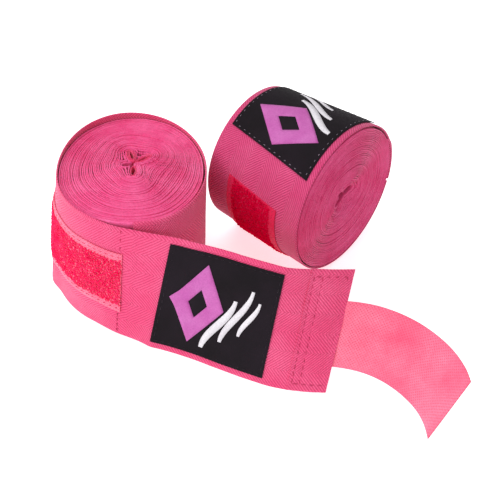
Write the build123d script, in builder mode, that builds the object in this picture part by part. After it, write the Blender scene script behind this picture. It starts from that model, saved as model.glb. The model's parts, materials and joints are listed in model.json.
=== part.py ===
"""A pair of woven hand wraps with hook-and-loop ends.

The open wrap is a roll standing on its edge, with its outer turn loose and its
finished end drawn out along the surface. The closed wrap is a roll lying on its
side, with its hook tape lapped under it onto its own loop patch.
+Z is up, and the pair stands on Z = 0.
"""
import os
from math import atan2, ceil, cos, degrees, radians, sin

from build123d import *

# ---------------------------------------------------------------- the band
BAND_WIDTH = 50.0  # two-inch wrap
BAND_THICKNESS = 0.7
HEM_THICKNESS = 1.4  # the band end is folded double
LABEL_THICKNESS = 0.4
LABEL_HEIGHT = 44.4  # across the band
MOTIF_THICKNESS = 0.12
THREAD = 0.25  # a stitch stands this proud
SEAT = 0.03  # sewn layers lie this far apart
THREAD_SEAT = 0.22  # a stitch lies this far off curved cloth
STITCH_LENGTH = 1.8
STITCH_PITCH = 3.0

# ---------------------------------------------------------------- hook-and-loop tapes
TAPE_WIDTH = 27.0  # woven edge to woven edge
FIELD_WIDTH = 20.6  # hooks or pile between the woven edges
TAPE_THICKNESS = 0.45
PILE_THICKNESS = 0.45
HOOK_THICKNESS = 0.35
TAB_CLEARANCE = 0.3  # the tab's hooks stand off the surfaces it closes on

# ---------------------------------------------------------------- the open roll
OPEN_X = -50.37
OPEN_TOP = (14.84, 28.4, 33.2)  # centre Y, X radius and Y radius of the outer turn at its top
OPEN_FOOT = (6.44, 30.6, 41.8)  # the same at its foot, where the loose turn flares forwards
OPEN_FOOT_X = -1.3  # the foot stands further out by this
WINDING_X = -50.82
WINDING_Y = 14.04
WINDING_RADII = (26.9, 31.6)
WINDING_HEIGHT = 48.6
TURN_END = 276.0  # degrees round the roll, where the band leaves it
TURN_START = -56.0
OPEN_PATCH = (168.0, 270.0)
CORE_SLOT = (17.0, 6.0)  # left open at the middle, round the folded thumb loop

# ---------------------------------------------------------------- the free end of the open wrap
FLAP_START = (-47.47, -35.06)
FLAP_LIFT = 0.45  # clears the lower corner of the leaning band off the surface
# Distance along the lower edge, heading, backward lean and forward skew in degrees.
FLAP_COURSE = (
    (0.0, 0.0, 18.0, 3.0),
    (14.0, -14.0, 20.0, 8.0),
    (32.0, -22.0, 22.0, 3.0),
    (56.0, -18.0, 24.0, 0.0),
    (68.0, -4.0, 30.0, 5.0),
    (82.0, 4.0, 35.0, 11.0),
)
FLAP_PANEL = (0.8, 65.4)  # reach of the single-layer panel along the course
LABEL_REACH = (8.5, 56.5)
HEM_REACH = (66.6, 82.0)
TAB_START = (33.43, -46.71)
TAB_LIFT = 9.0
TAB_COURSE = (
    (0.0, -2.0, 35.0, 11.0),
    (9.0, -13.0, 39.0, 7.0),
    (23.0, -37.0, 40.0, 0.0),
    (35.0, -54.0, 38.0, -6.0),
    (46.0, -77.0, 35.0, -16.0),
    (52.0, -86.0, 35.0, -24.0),
)
TAB_ROOT_REACH = (1.1, 24.4)
TAB_TIP_REACH = (25.6, 52.0)
COURSE_STEP = 4.0  # distance between the ribs of a lofted strip

# ---------------------------------------------------------------- the closed roll
CLOSED_FOOT = (38.43, 21.94)  # where the near face comes down to the surface
CLOSED_HEADING = -37.8  # the roll's axis, far face to near face
CLOSED_NEAR_RADIUS = 33.0
CLOSED_FAR_RADIUS = 30.2
CLOSED_STAND = TAPE_THICKNESS + PILE_THICKNESS + TAB_CLEARANCE + HOOK_THICKNESS + TAPE_THICKNESS - 0.1
CLOSED_SLIT = (12.0, 4.0)
# Angles in degrees about the roll's axis, from straight up towards the front.
CLOSED_LABEL = (-52.0, 34.0)
CLOSED_PATCH = (67.0, 174.0)
CLOSED_TURN = (-63.0, 253.0)
CLOSED_HEM = (-105.0, -64.0)
CLOSED_TAB_ROOT = (-163.0, -106.4)
CLOSED_TAB_TIP = (-212.0, -164.2)
CLOSED_SLEW = 14.0  # the label and the patch run forward by this towards the near face

os.makedirs("parts", exist_ok=True)


# ---------------------------------------------------------------- the open roll's helpers
def turn_ellipse(height, offset):
    """Centre and radii of the loose outer turn at a height, moved outwards by an offset."""
    share = height / BAND_WIDTH
    centre_y, radius_x, radius_y = (
        foot + (top - foot) * share for foot, top in zip(OPEN_FOOT, OPEN_TOP)
    )
    centre_x = OPEN_X + OPEN_FOOT_X * (1 - share)
    return (centre_x, centre_y), radius_x + offset, radius_y + offset


def turn_section(height, inner, outer, start, end):
    """Cross-section of a layer of the outer turn, between two offsets and two angles."""
    with BuildSketch(Plane.XY.offset(height)) as section:
        with BuildLine():
            centre, radius_x, radius_y = turn_ellipse(height, outer)
            outside = EllipticalCenterArc(centre, radius_x, radius_y, start, arc_size=end - start)
            centre, radius_x, radius_y = turn_ellipse(height, inner)
            inside = EllipticalCenterArc(centre, radius_x, radius_y, start, arc_size=end - start)
            Line(outside @ 0, inside @ 0)
            Line(outside @ 1, inside @ 1)
        make_face()
    return section.sketch


def turn_layer(low, high, inner, outer, start, end):
    """Sections of a layer that follows the outer turn from one height to another."""
    return [turn_section(height, inner, outer, start, end) for height in (low, high)]


def turn_point(height, offset, angle):
    """A point on the outer turn."""
    centre, radius_x, radius_y = turn_ellipse(height, offset)
    x = centre[0] + radius_x * cos(radians(angle))
    y = centre[1] + radius_y * sin(radians(angle))
    return Vector(x, y, height)


def turn_plane(height, offset, angle):
    """Plane on the outer turn, its X along the turn and its Z outwards."""
    here = turn_point(height, offset, angle)
    along = turn_point(height, offset, angle + 1) - turn_point(height, offset, angle - 1)
    up = turn_point(height + 1, offset, angle) - turn_point(height - 1, offset, angle)
    return Plane(origin=here, x_dir=along, z_dir=along.cross(up))


# ---------------------------------------------------------------- the free end's helpers
def between(course, distance, column):
    """Value of one column of a course at a distance along it."""
    for low, high in zip(course, course[1:]):
        if distance <= high[0]:
            share = (distance - low[0]) / (high[0] - low[0])
            return low[column] + (high[column] - low[column]) * share
    return course[-1][column]


def course_plane(course, start, lift, distance):
    """Plane square to a strip: X through its thickness, away from its face, and Y up its width."""
    x, y = start
    steps = 40
    for step in range(steps):
        heading = radians(between(course, distance * (step + 0.5) / steps, 1))
        x += distance / steps * cos(heading)
        y += distance / steps * sin(heading)
    heading = radians(between(course, distance, 1))
    lean = radians(between(course, distance, 2))
    skew = radians(between(course, distance, 3))
    forward = Vector(cos(heading), sin(heading), 0)
    upright = Vector(-sin(heading) * sin(lean), cos(heading) * sin(lean), cos(lean))
    width = upright * cos(skew) + forward * sin(skew)
    square = forward * cos(skew) - upright * sin(skew)
    return Plane(origin=(x, y, lift), x_dir=width.cross(square), z_dir=square)


def strip_ribs(plane_at, reach, low, high, back, front):
    """Thin cross-sections along a strip, between two distances from its start."""
    start, end = reach
    inner = [COURSE_STEP * index for index in range(ceil(start / COURSE_STEP), ceil(end / COURSE_STEP))]
    ribs = []
    for distance in [start] + [rib for rib in inner if start + 0.2 < rib < end - 0.2] + [end]:
        with BuildSketch(plane_at(distance)) as rib:
            with Locations(((back + front) / 2, (low + high) / 2)):
                Rectangle(abs(front - back), high - low)
        ribs.append(rib.sketch)
    return ribs


def flap_plane(distance):
    """Plane square to the open wrap's drawn-out band."""
    return course_plane(FLAP_COURSE, FLAP_START, FLAP_LIFT, distance)


def tab_plane(distance):
    """Plane square to the open wrap's hook tape."""
    return course_plane(TAB_COURSE, TAB_START, TAB_LIFT, distance)


def face_plane(plane, depth, up):
    """Plane on the strip's face, its X along the strip and its Z out of the face."""
    origin = plane.origin + plane.x_dir * depth + plane.y_dir * up
    return Plane(origin=origin, x_dir=plane.z_dir, z_dir=-plane.x_dir)


# ---------------------------------------------------------------- the closed roll's helpers
CLOSED_TILT = degrees(atan2(CLOSED_NEAR_RADIUS - CLOSED_FAR_RADIUS, BAND_WIDTH))
FORWARD = Vector(cos(radians(CLOSED_HEADING)), sin(radians(CLOSED_HEADING)), 0)
AXIS = FORWARD * cos(radians(CLOSED_TILT)) + Vector(0, 0, 1) * sin(radians(CLOSED_TILT))
UPRIGHT = Vector(0, 0, 1) * cos(radians(CLOSED_TILT)) - FORWARD * sin(radians(CLOSED_TILT))
NEAR_CENTRE = Vector(*CLOSED_FOOT, 0) + UPRIGHT * (CLOSED_NEAR_RADIUS + CLOSED_STAND)


def closed_plane(depth):
    """Plane across the closed roll at a depth behind its near face, its X upright."""
    return Plane(origin=NEAR_CENTRE - AXIS * depth, x_dir=UPRIGHT, z_dir=AXIS)


def closed_radius(depth):
    """Outer radius of the closed roll's outer turn at a depth behind its near face."""
    return CLOSED_NEAR_RADIUS + (CLOSED_FAR_RADIUS - CLOSED_NEAR_RADIUS) * depth / BAND_WIDTH


def slewed(angle, depth):
    """Angle of a sewn piece's edge at a depth, when the piece runs forward towards the near face."""
    return angle + CLOSED_SLEW * (1 - depth / BAND_WIDTH)


def closed_layer(width, inner, outer, angles, steps=1):
    """Sections of a layer round the closed roll, centred on its width.

    A layer in more than one step runs forward towards the near face.
    """
    sections = []
    for step in range(steps + 1):
        depth = (BAND_WIDTH + width) / 2 - width * step / steps
        start, end = [slewed(angle, depth) if steps > 1 else angle for angle in angles]
        with BuildSketch(closed_plane(depth)) as section:
            with BuildLine():
                radius = closed_radius(depth)
                outside = CenterArc((0, 0), radius + outer, start, end - start)
                inside = CenterArc((0, 0), radius + inner, start, end - start)
                Line(outside @ 0, inside @ 0)
                Line(outside @ 1, inside @ 1)
            make_face()
        sections.append(section.sketch)
    return sections


def closed_face(depth, offset, angle):
    """Plane on the closed roll's side, its X along the winding and its Z outwards."""
    across = closed_plane(depth)
    outwards = across.x_dir * cos(radians(angle)) + across.y_dir * sin(radians(angle))
    around = across.y_dir * cos(radians(angle)) - across.x_dir * sin(radians(angle))
    origin = across.origin + outwards * (closed_radius(depth) + offset)
    return Plane(origin=origin, x_dir=around, z_dir=outwards)


def spread(start, end, pitch):
    """Evenly spaced values from start to end, about a pitch apart."""
    count = max(1, round(abs(end - start) / pitch))
    return [start + (end - start) * index / count for index in range(count + 1)]


def stitch(plane, upright=False):
    """Face of one thread stitch on a plane."""
    with BuildSketch(plane) as face:
        if upright:
            Rectangle(THREAD * 2, STITCH_LENGTH)
        else:
            Rectangle(STITCH_LENGTH, THREAD * 2)
    return face.sketch


# ================================================================ open wrap: the standing roll
with BuildPart() as open_winding:
    with BuildSketch(Plane.XY):
        with Locations((WINDING_X, WINDING_Y)):
            Ellipse(*WINDING_RADII)
            with Locations(Rotation(0, 0, 52)):
                SlotOverall(*CORE_SLOT, mode=Mode.SUBTRACT)
    extrude(amount=WINDING_HEIGHT)
open_winding.part.label = "open_winding"

with BuildPart() as open_outer_turn:
    loft(turn_layer(0, BAND_WIDTH, -BAND_THICKNESS, 0, TURN_START, TURN_END), ruled=True)
open_outer_turn.part.label = "open_outer_turn"

# The thumb loop is a narrow tape, sewn to the band's inner end and folded flat in the core.
LOOP_TAPE_WIDTH = 25.0
LOOP_LENGTH = 14.6
LOOP_DEPTH = 4.0
with BuildPart() as open_thumb_loop:
    with BuildSketch(Plane.XY.offset((WINDING_HEIGHT - LOOP_TAPE_WIDTH) / 2)):
        with Locations((WINDING_X, WINDING_Y)):
            with Locations(Rotation(0, 0, 52)):
                SlotOverall(LOOP_LENGTH, LOOP_DEPTH)
                SlotOverall(LOOP_LENGTH - 2, LOOP_DEPTH - 2, mode=Mode.SUBTRACT)
    extrude(amount=LOOP_TAPE_WIDTH)
open_thumb_loop.part.label = "open_thumb_loop"

# Bar tack: three rows of thread that hold the loop closed on the band's inner end.
with BuildPart() as open_thumb_loop_tack:
    with BuildSketch(Plane.XY.offset(WINDING_HEIGHT / 2 - 4)):
        with Locations((WINDING_X, WINDING_Y)):
            with Locations(Rotation(0, 0, 52)):
                with GridLocations(2.0, 1, 3, 1):
                    Rectangle(0.6, LOOP_DEPTH - 2)
    extrude(amount=8)
open_thumb_loop_tack.part.label = "open_thumb_loop_tack"

TAPE_LOW = (BAND_WIDTH - TAPE_WIDTH) / 2
TAPE_HIGH = (BAND_WIDTH + TAPE_WIDTH) / 2
FIELD_LOW = (BAND_WIDTH - FIELD_WIDTH) / 2
FIELD_HIGH = (BAND_WIDTH + FIELD_WIDTH) / 2
with BuildPart() as open_loop_tape:
    loft(turn_layer(TAPE_LOW, TAPE_HIGH, SEAT, TAPE_THICKNESS, *OPEN_PATCH), ruled=True)
open_loop_tape.part.label = "open_loop_tape"

with BuildPart() as open_loop_pile:
    field = turn_layer(
        FIELD_LOW, FIELD_HIGH, TAPE_THICKNESS + SEAT, TAPE_THICKNESS + PILE_THICKNESS,
        OPEN_PATCH[0] + 1, OPEN_PATCH[1] - 1,
    )
    loft(field, ruled=True)
open_loop_pile.part.label = "open_loop_pile"

# Thread rows along both woven edges of the loop tape, and across its front end.
EDGE_ROW = 1.6  # row to tape edge
with BuildPart() as open_loop_stitches:
    for height in (TAPE_LOW + EDGE_ROW, TAPE_HIGH - EDGE_ROW):
        for angle in spread(OPEN_PATCH[0] + 2, OPEN_PATCH[1] - 2, 5.0):
            extrude(stitch(turn_plane(height, TAPE_THICKNESS + SEAT, angle)), amount=THREAD)
    beyond = spread(2, TAPE_LOW - 2, STITCH_PITCH) + spread(TAPE_HIGH + 2, BAND_WIDTH - 2, STITCH_PITCH)
    for height in beyond:
        plane = turn_plane(height, SEAT, OPEN_PATCH[1] - 2)
        extrude(stitch(plane, upright=True), amount=THREAD)
open_loop_stitches.part.label = "open_loop_stitches"

# ================================================================ open wrap: the drawn-out end
HALF_BAND = BAND_THICKNESS / 2
with BuildPart() as open_label_panel:
    loft(strip_ribs(flap_plane, FLAP_PANEL, 0, BAND_WIDTH, -HALF_BAND, HALF_BAND), ruled=True)
open_label_panel.part.label = "open_label_panel"

LABEL_LOW = (BAND_WIDTH - LABEL_HEIGHT) / 2
LABEL_HIGH = (BAND_WIDTH + LABEL_HEIGHT) / 2
LABEL_BACK = -HALF_BAND - SEAT
LABEL_FACE = LABEL_BACK - LABEL_THICKNESS
with BuildPart() as open_label:
    loft(strip_ribs(flap_plane, LABEL_REACH, LABEL_LOW, LABEL_HIGH, LABEL_BACK, LABEL_FACE), ruled=True)
open_label.part.label = "open_label"

# The print on the label: a plain bar with two leaning strokes beside it.
MOTIF_BARS = ((14.0, 26.0, 8.0, 38.0), (30.0, 34.0, 12.0, 34.0), (40.0, 44.0, 12.0, 38.0))
with BuildPart() as open_label_motif:
    for start, end, low, high in MOTIF_BARS:
        ribs = strip_ribs(
            flap_plane, (start, end), low, high, LABEL_FACE - SEAT, LABEL_FACE - MOTIF_THICKNESS
        )
        loft(ribs, ruled=True)
open_label_motif.part.label = "open_label_motif"

with BuildPart() as open_label_stitches:
    for distance in spread(LABEL_REACH[0] + 2, LABEL_REACH[1] - 2, STITCH_PITCH):
        for up in (LABEL_LOW + 1.2, LABEL_HIGH - 1.2):
            extrude(stitch(face_plane(flap_plane(distance), LABEL_FACE - THREAD_SEAT, up)), amount=THREAD)
    for distance in (LABEL_REACH[0] + 1.2, LABEL_REACH[1] - 1.2):
        for up in spread(LABEL_LOW + 4, LABEL_HIGH - 4, STITCH_PITCH):
            plane = face_plane(flap_plane(distance), LABEL_FACE - THREAD_SEAT, up)
            extrude(stitch(plane, upright=True), amount=THREAD)
open_label_stitches.part.label = "open_label_stitches"

HALF_HEM = HEM_THICKNESS / 2
with BuildPart() as open_hem:
    loft(strip_ribs(flap_plane, HEM_REACH, 0, BAND_WIDTH, -HALF_HEM, HALF_HEM), ruled=True)
open_hem.part.label = "open_hem"

with BuildPart() as open_hem_stitches:
    for distance in (HEM_REACH[0] + 1.5, HEM_REACH[0] + 4.5, HEM_REACH[1] - 2.0):
        for up in spread(4, BAND_WIDTH - 4, STITCH_PITCH):
            plane = face_plane(flap_plane(distance), -HALF_HEM - THREAD_SEAT, up)
            extrude(stitch(plane, upright=True), amount=THREAD)
    for distance in spread(HEM_REACH[0] + 3, HEM_REACH[1] - 3, STITCH_PITCH):
        for up in (3.0, BAND_WIDTH - 3.0):
            extrude(stitch(face_plane(flap_plane(distance), -HALF_HEM - THREAD_SEAT, up)), amount=THREAD)
open_hem_stitches.part.label = "open_hem_stitches"

# The tab is one hook tape, its hooks on the back. It is held in two reaches that bend apart.
HALF_TAPE = TAPE_THICKNESS / 2
HOOK_BACK = HALF_TAPE + HOOK_THICKNESS
HOOK_LOW = (TAPE_WIDTH - FIELD_WIDTH) / 2
HOOK_HIGH = (TAPE_WIDTH + FIELD_WIDTH) / 2
with BuildPart() as open_tab_root:
    loft(strip_ribs(tab_plane, TAB_ROOT_REACH, 0, TAPE_WIDTH, -HALF_TAPE, HALF_TAPE), ruled=True)
open_tab_root.part.label = "open_tab_root"

with BuildPart() as open_tab_root_hooks:
    reach = (TAB_ROOT_REACH[0] + 2, TAB_ROOT_REACH[1])
    loft(strip_ribs(tab_plane, reach, HOOK_LOW, HOOK_HIGH, HALF_TAPE + SEAT, HOOK_BACK), ruled=True)
open_tab_root_hooks.part.label = "open_tab_root_hooks"

with BuildPart() as open_tab_tip:
    loft(strip_ribs(tab_plane, TAB_TIP_REACH, 0, TAPE_WIDTH, -HALF_TAPE, HALF_TAPE), ruled=True)
open_tab_tip.part.label = "open_tab_tip"

with BuildPart() as open_tab_tip_hooks:
    reach = (TAB_TIP_REACH[0], TAB_TIP_REACH[1] - 2)
    loft(strip_ribs(tab_plane, reach, HOOK_LOW, HOOK_HIGH, HALF_TAPE + SEAT, HOOK_BACK), ruled=True)
open_tab_tip_hooks.part.label = "open_tab_tip_hooks"

# ================================================================ closed wrap: the lying roll
WINDING_GAP = BAND_THICKNESS + 0.15  # the outer turn lies this far out from the winding
with BuildPart() as closed_winding:
    ends = []
    for depth in (BAND_WIDTH, 0):
        with BuildSketch(closed_plane(depth)) as end:
            Circle(closed_radius(depth) - WINDING_GAP)
            with Locations(Rotation(0, 0, 30)):
                SlotOverall(*CLOSED_SLIT, mode=Mode.SUBTRACT)
        ends.append(end.sketch)
    loft(ends, ruled=True)
closed_winding.part.label = "closed_winding"

with BuildPart() as closed_outer_turn:
    loft(closed_layer(BAND_WIDTH, -BAND_THICKNESS, 0, CLOSED_TURN), ruled=True)
closed_outer_turn.part.label = "closed_outer_turn"

CLOSED_LOOP = (10.6, 2.8)
with BuildPart() as closed_thumb_loop:
    with BuildSketch(closed_plane((BAND_WIDTH + LOOP_TAPE_WIDTH) / 2)):
        with Locations(Rotation(0, 0, 30)):
            SlotOverall(*CLOSED_LOOP)
            SlotOverall(CLOSED_LOOP[0] - 1.6, CLOSED_LOOP[1] - 1.6, mode=Mode.SUBTRACT)
    extrude(amount=LOOP_TAPE_WIDTH)
closed_thumb_loop.part.label = "closed_thumb_loop"

with BuildPart() as closed_thumb_loop_tack:
    with BuildSketch(closed_plane(BAND_WIDTH / 2 + 4)):
        with Locations(Rotation(0, 0, 30)):
            with GridLocations(2.0, 1, 3, 1):
                Rectangle(0.6, CLOSED_LOOP[1] - 1.6)
    extrude(amount=8)
closed_thumb_loop_tack.part.label = "closed_thumb_loop_tack"

SLEW_STEPS = 6
with BuildPart() as closed_loop_tape:
    loft(closed_layer(TAPE_WIDTH, SEAT, TAPE_THICKNESS, CLOSED_PATCH, SLEW_STEPS), ruled=True)
closed_loop_tape.part.label = "closed_loop_tape"

PILE_FACE = TAPE_THICKNESS + PILE_THICKNESS
with BuildPart() as closed_loop_pile:
    angles = (CLOSED_PATCH[0] + 1, CLOSED_PATCH[1] - 1)
    loft(closed_layer(FIELD_WIDTH, TAPE_THICKNESS + SEAT, PILE_FACE, angles, SLEW_STEPS), ruled=True)
closed_loop_pile.part.label = "closed_loop_pile"

with BuildPart() as closed_loop_stitches:
    for depth in (TAPE_LOW + EDGE_ROW, TAPE_HIGH - EDGE_ROW):
        for angle in spread(CLOSED_PATCH[0] + 2, 134, 5.0):
            plane = closed_face(depth, TAPE_THICKNESS + THREAD_SEAT, slewed(angle, depth))
            extrude(stitch(plane), amount=THREAD)
closed_loop_stitches.part.label = "closed_loop_stitches"

with BuildPart() as closed_label:
    loft(closed_layer(LABEL_HEIGHT, SEAT, LABEL_THICKNESS, CLOSED_LABEL, SLEW_STEPS), ruled=True)
closed_label.part.label = "closed_label"

with BuildPart() as closed_label_motif:
    for low, high in ((-5, 22), (-18, -12), (-36, -28)):
        layer = closed_layer(
            30.0, LABEL_THICKNESS + SEAT, LABEL_THICKNESS + MOTIF_THICKNESS, (low, high), SLEW_STEPS
        )
        loft(layer, ruled=True)
closed_label_motif.part.label = "closed_label_motif"

with BuildPart() as closed_label_stitches:
    for depth in (LABEL_LOW + 1.2, LABEL_HIGH - 1.2):
        for angle in spread(CLOSED_LABEL[0] + 4, CLOSED_LABEL[1] - 4, 5.2):
            plane = closed_face(depth, LABEL_THICKNESS + THREAD_SEAT, slewed(angle, depth))
            extrude(stitch(plane), amount=THREAD)
    for angle in (CLOSED_LABEL[0] + 2, CLOSED_LABEL[1] - 2):
        for depth in spread(LABEL_LOW + 4, LABEL_HIGH - 4, STITCH_PITCH):
            plane = closed_face(depth, LABEL_THICKNESS + THREAD_SEAT, slewed(angle, depth))
            extrude(stitch(plane, upright=True), amount=THREAD)
closed_label_stitches.part.label = "closed_label_stitches"

HEM_FACE = HEM_THICKNESS - BAND_THICKNESS
with BuildPart() as closed_hem:
    loft(closed_layer(BAND_WIDTH, -BAND_THICKNESS, HEM_FACE, CLOSED_HEM), ruled=True)
closed_hem.part.label = "closed_hem"

with BuildPart() as closed_hem_stitches:
    for angle in (CLOSED_HEM[0] + 4, CLOSED_HEM[1] - 3, CLOSED_HEM[1] - 8):
        for depth in spread(4, BAND_WIDTH - 4, STITCH_PITCH):
            extrude(stitch(closed_face(depth, HEM_FACE + THREAD_SEAT, angle), upright=True), amount=THREAD)
closed_hem_stitches.part.label = "closed_hem_stitches"

# The closed tab runs off the hem, under the roll, and up over the far end of the loop patch.
ROOT_HOOKS = TAB_CLEARANCE + HOOK_THICKNESS
with BuildPart() as closed_tab_root:
    layer = closed_layer(TAPE_WIDTH, ROOT_HOOKS, ROOT_HOOKS + TAPE_THICKNESS, CLOSED_TAB_ROOT)
    loft(layer, ruled=True)
closed_tab_root.part.label = "closed_tab_root"

with BuildPart() as closed_tab_root_hooks:
    angles = (CLOSED_TAB_ROOT[0], CLOSED_TAB_ROOT[1] - 3)
    loft(closed_layer(FIELD_WIDTH, TAB_CLEARANCE, ROOT_HOOKS, angles), ruled=True)
closed_tab_root_hooks.part.label = "closed_tab_root_hooks"

TIP_HOOKS = PILE_FACE + TAB_CLEARANCE - 0.1
TIP_TAPE = TIP_HOOKS + HOOK_THICKNESS
with BuildPart() as closed_tab_tip:
    loft(closed_layer(TAPE_WIDTH, TIP_TAPE, TIP_TAPE + TAPE_THICKNESS, CLOSED_TAB_TIP), ruled=True)
closed_tab_tip.part.label = "closed_tab_tip"

with BuildPart() as closed_tab_tip_hooks:
    angles = (CLOSED_TAB_TIP[0] + 3, CLOSED_TAB_TIP[1])
    loft(closed_layer(FIELD_WIDTH, TIP_HOOKS, TIP_TAPE, angles), ruled=True)
closed_tab_tip_hooks.part.label = "closed_tab_tip_hooks"

# ---------------------------------------------------------------- one file for each piece
PIECES = (
    open_winding, open_outer_turn, open_thumb_loop, open_thumb_loop_tack,
    open_loop_tape, open_loop_pile, open_loop_stitches,
    open_label_panel, open_label, open_label_motif, open_label_stitches,
    open_hem, open_hem_stitches,
    open_tab_root, open_tab_root_hooks, open_tab_tip, open_tab_tip_hooks,
    closed_winding, closed_outer_turn, closed_thumb_loop, closed_thumb_loop_tack,
    closed_loop_tape, closed_loop_pile, closed_loop_stitches,
    closed_label, closed_label_motif, closed_label_stitches,
    closed_hem, closed_hem_stitches,
    closed_tab_root, closed_tab_root_hooks, closed_tab_tip, closed_tab_tip_hooks,
)
for piece in PIECES:
    export_step(piece.part, f"parts/{piece.part.label}.step")
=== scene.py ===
"""Dresses a pair of woven hand wraps in cloth, tape, pile and thread.

The open wrap stands on its edge with its finished end drawn out along the floor.
The closed wrap lies on its side, held by its hook tape. Lengths are in metres.
"""
import json
import logging
import math
import random
from abc import ABC, abstractmethod
from dataclasses import dataclass, field, replace
from enum import Enum
from functools import cached_property, lru_cache
from typing import Callable, Iterable, Optional, Sequence

import bmesh
import bpy
import numpy as np
from mathutils import Matrix, Vector, noise


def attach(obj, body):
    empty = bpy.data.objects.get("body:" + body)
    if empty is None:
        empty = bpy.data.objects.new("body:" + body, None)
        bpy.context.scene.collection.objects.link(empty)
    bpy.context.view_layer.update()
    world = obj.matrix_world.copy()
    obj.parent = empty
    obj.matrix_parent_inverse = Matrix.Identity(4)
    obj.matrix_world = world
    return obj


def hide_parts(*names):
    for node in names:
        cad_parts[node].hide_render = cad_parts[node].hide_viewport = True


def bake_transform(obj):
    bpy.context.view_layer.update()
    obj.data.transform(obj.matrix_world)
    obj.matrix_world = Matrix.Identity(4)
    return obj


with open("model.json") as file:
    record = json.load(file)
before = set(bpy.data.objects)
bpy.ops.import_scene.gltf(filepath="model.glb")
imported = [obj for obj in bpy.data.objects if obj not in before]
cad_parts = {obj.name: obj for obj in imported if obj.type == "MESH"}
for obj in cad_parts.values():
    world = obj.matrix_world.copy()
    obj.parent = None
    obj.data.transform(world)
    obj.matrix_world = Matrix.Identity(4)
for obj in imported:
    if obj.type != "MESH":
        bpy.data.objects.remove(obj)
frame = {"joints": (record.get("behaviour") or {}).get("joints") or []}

log = logging.getLogger("hand_wraps")
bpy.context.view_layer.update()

MM = 0.001
Colour = tuple[float, float, float]
Relief = Callable[[float, float], float]
Piece = bpy.types.Object
Tree = bpy.types.NodeTree
Socket = bpy.types.NodeSocket

# ---------------------------------------------------------------- sizes shared by both wraps
BAND_WIDTH = 50.0 * MM
BAND_THICKNESS = 0.7 * MM
HEM_THICKNESS = 1.4 * MM
LABEL_THICKNESS = 0.4 * MM
LABEL_HEIGHT = 44.4 * MM
TAPE_WIDTH = 27.0 * MM
FIELD_WIDTH = 20.6 * MM
TAPE_THICKNESS = 0.45 * MM
HOOK_THICKNESS = 0.35 * MM
LOOP_TAPE_WIDTH = 25.0 * MM
STITCH_LENGTH = 1.8 * MM
STITCH_PITCH = 3.0 * MM
PATCH_STITCH_TURN = 5.0  # degrees round the roll between a patch's stitches
LOOP_END = 350.0  # degrees round a folded thumb loop; it isn't sewn into a ring


# ================================================================ small helpers
def srgb(red: int, green: int, blue: int) -> Colour:
    """A screen colour, each channel 0 to 255, as the linear colour a shader takes."""
    def linear(value: float) -> float:
        """One channel, made linear."""
        share = value / 255
        return share / 12.92 if share <= 0.04045 else ((share + 0.055) / 1.055) ** 2.4
    return linear(red), linear(green), linear(blue)


def ease(value: float, low: float = 0.0, high: float = 1.0) -> float:
    """Share of the way from low to high, clamped, with soft ends."""
    share = min(1.0, max(0.0, (value - low) / (high - low)))
    return share * share * (3 - 2 * share)


def spread(start: float, end: float, pitch: float) -> list[float]:
    """Evenly spaced values from start to end, about a pitch apart, both ends included."""
    count = max(1, round(abs(end - start) / pitch))
    return [start + (end - start) * index / count for index in range(count + 1)]


def ripple(x: float, y: float, seed: float) -> float:
    """Smooth noise from -1 to 1 at a place, the same on each run."""
    return noise.noise(Vector((x, y, seed)))


def across(low: float, high: float, pitch: float) -> list[float]:
    """Places across a strip, with close ones near both edges so that they can be rounded."""
    rim = 0.25 * MM
    return [low] + [low + rim] + spread(low + 4 * rim, high - 4 * rim, pitch) + [high - rim] + [high]


def edges(width: float) -> tuple[float, float]:
    """Lower and upper edge of a piece that is centred across the band."""
    return (BAND_WIDTH - width) / 2, (BAND_WIDTH + width) / 2


# ================================================================ the surfaces cloth lies on
class Surface(ABC):
    """A surface that a strip of cloth lies on."""

    in_metres = False

    @abstractmethod
    def point(self, along: float, up: float, out: float) -> Vector:
        """A place on or off the surface.

        Args:
            along: how far along the strip, in metres or in degrees round a roll.
            up: how far across its width.
            out: how far off it, towards its outer face.

        Returns:
            The place, in the frame that all parts share.
        """

    def length(self, start: float, end: float, up: float) -> float:
        """Length of the line along the surface between two places, at a place across it."""
        steps = 48
        line = [self.point(start + (end - start) * i / steps, up, 0) for i in range(steps + 1)]
        return sum((b - a).length for a, b in zip(line, line[1:]))

    def seat(self, along: float, up: float, out: float, turn: float = 0.0) -> Matrix:
        """Frame on the surface: X along the strip, Z outwards, turned about Z by an angle."""
        step = 1e-4 if self.in_metres else 0.2
        here = self.point(along, up, out)
        forward = self.point(along + step, up, out) - here
        outward = self.point(along, up, out + 1e-4) - here
        x = forward.normalized()
        z = outward.normalized()
        y = z.cross(x).normalized()
        x = y.cross(z)
        place = Matrix((x, y, z)).transposed().to_4x4()
        place.translation = here
        return place @ Matrix.Rotation(turn, 4, "Z")

    def way(self, start: float, end: float, up: float) -> Vector:
        """Direction from one place along the surface to another."""
        return (self.point(end, up, 0) - self.point(start, up, 0)).normalized()


@dataclass(frozen=True)
class OuterTurn(Surface):
    """The loose outer turn of the standing roll, an oval that flares towards its foot."""

    centre_x: float = -50.37 * MM
    foot_shift: float = -1.3 * MM
    top: tuple[float, float, float] = (14.84 * MM, 28.4 * MM, 33.2 * MM)
    foot: tuple[float, float, float] = (6.44 * MM, 30.6 * MM, 41.8 * MM)

    def point(self, along: float, up: float, out: float) -> Vector:
        """A place on the turn; along is degrees round it and up is its height."""
        share = up / BAND_WIDTH
        centre_y, radius_x, radius_y = (
            low + (high - low) * share for low, high in zip(self.foot, self.top)
        )
        angle = math.radians(along)
        x = self.centre_x + self.foot_shift * (1 - share) + (radius_x + out) * math.cos(angle)
        return Vector((x, centre_y + (radius_y + out) * math.sin(angle), up))


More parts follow.
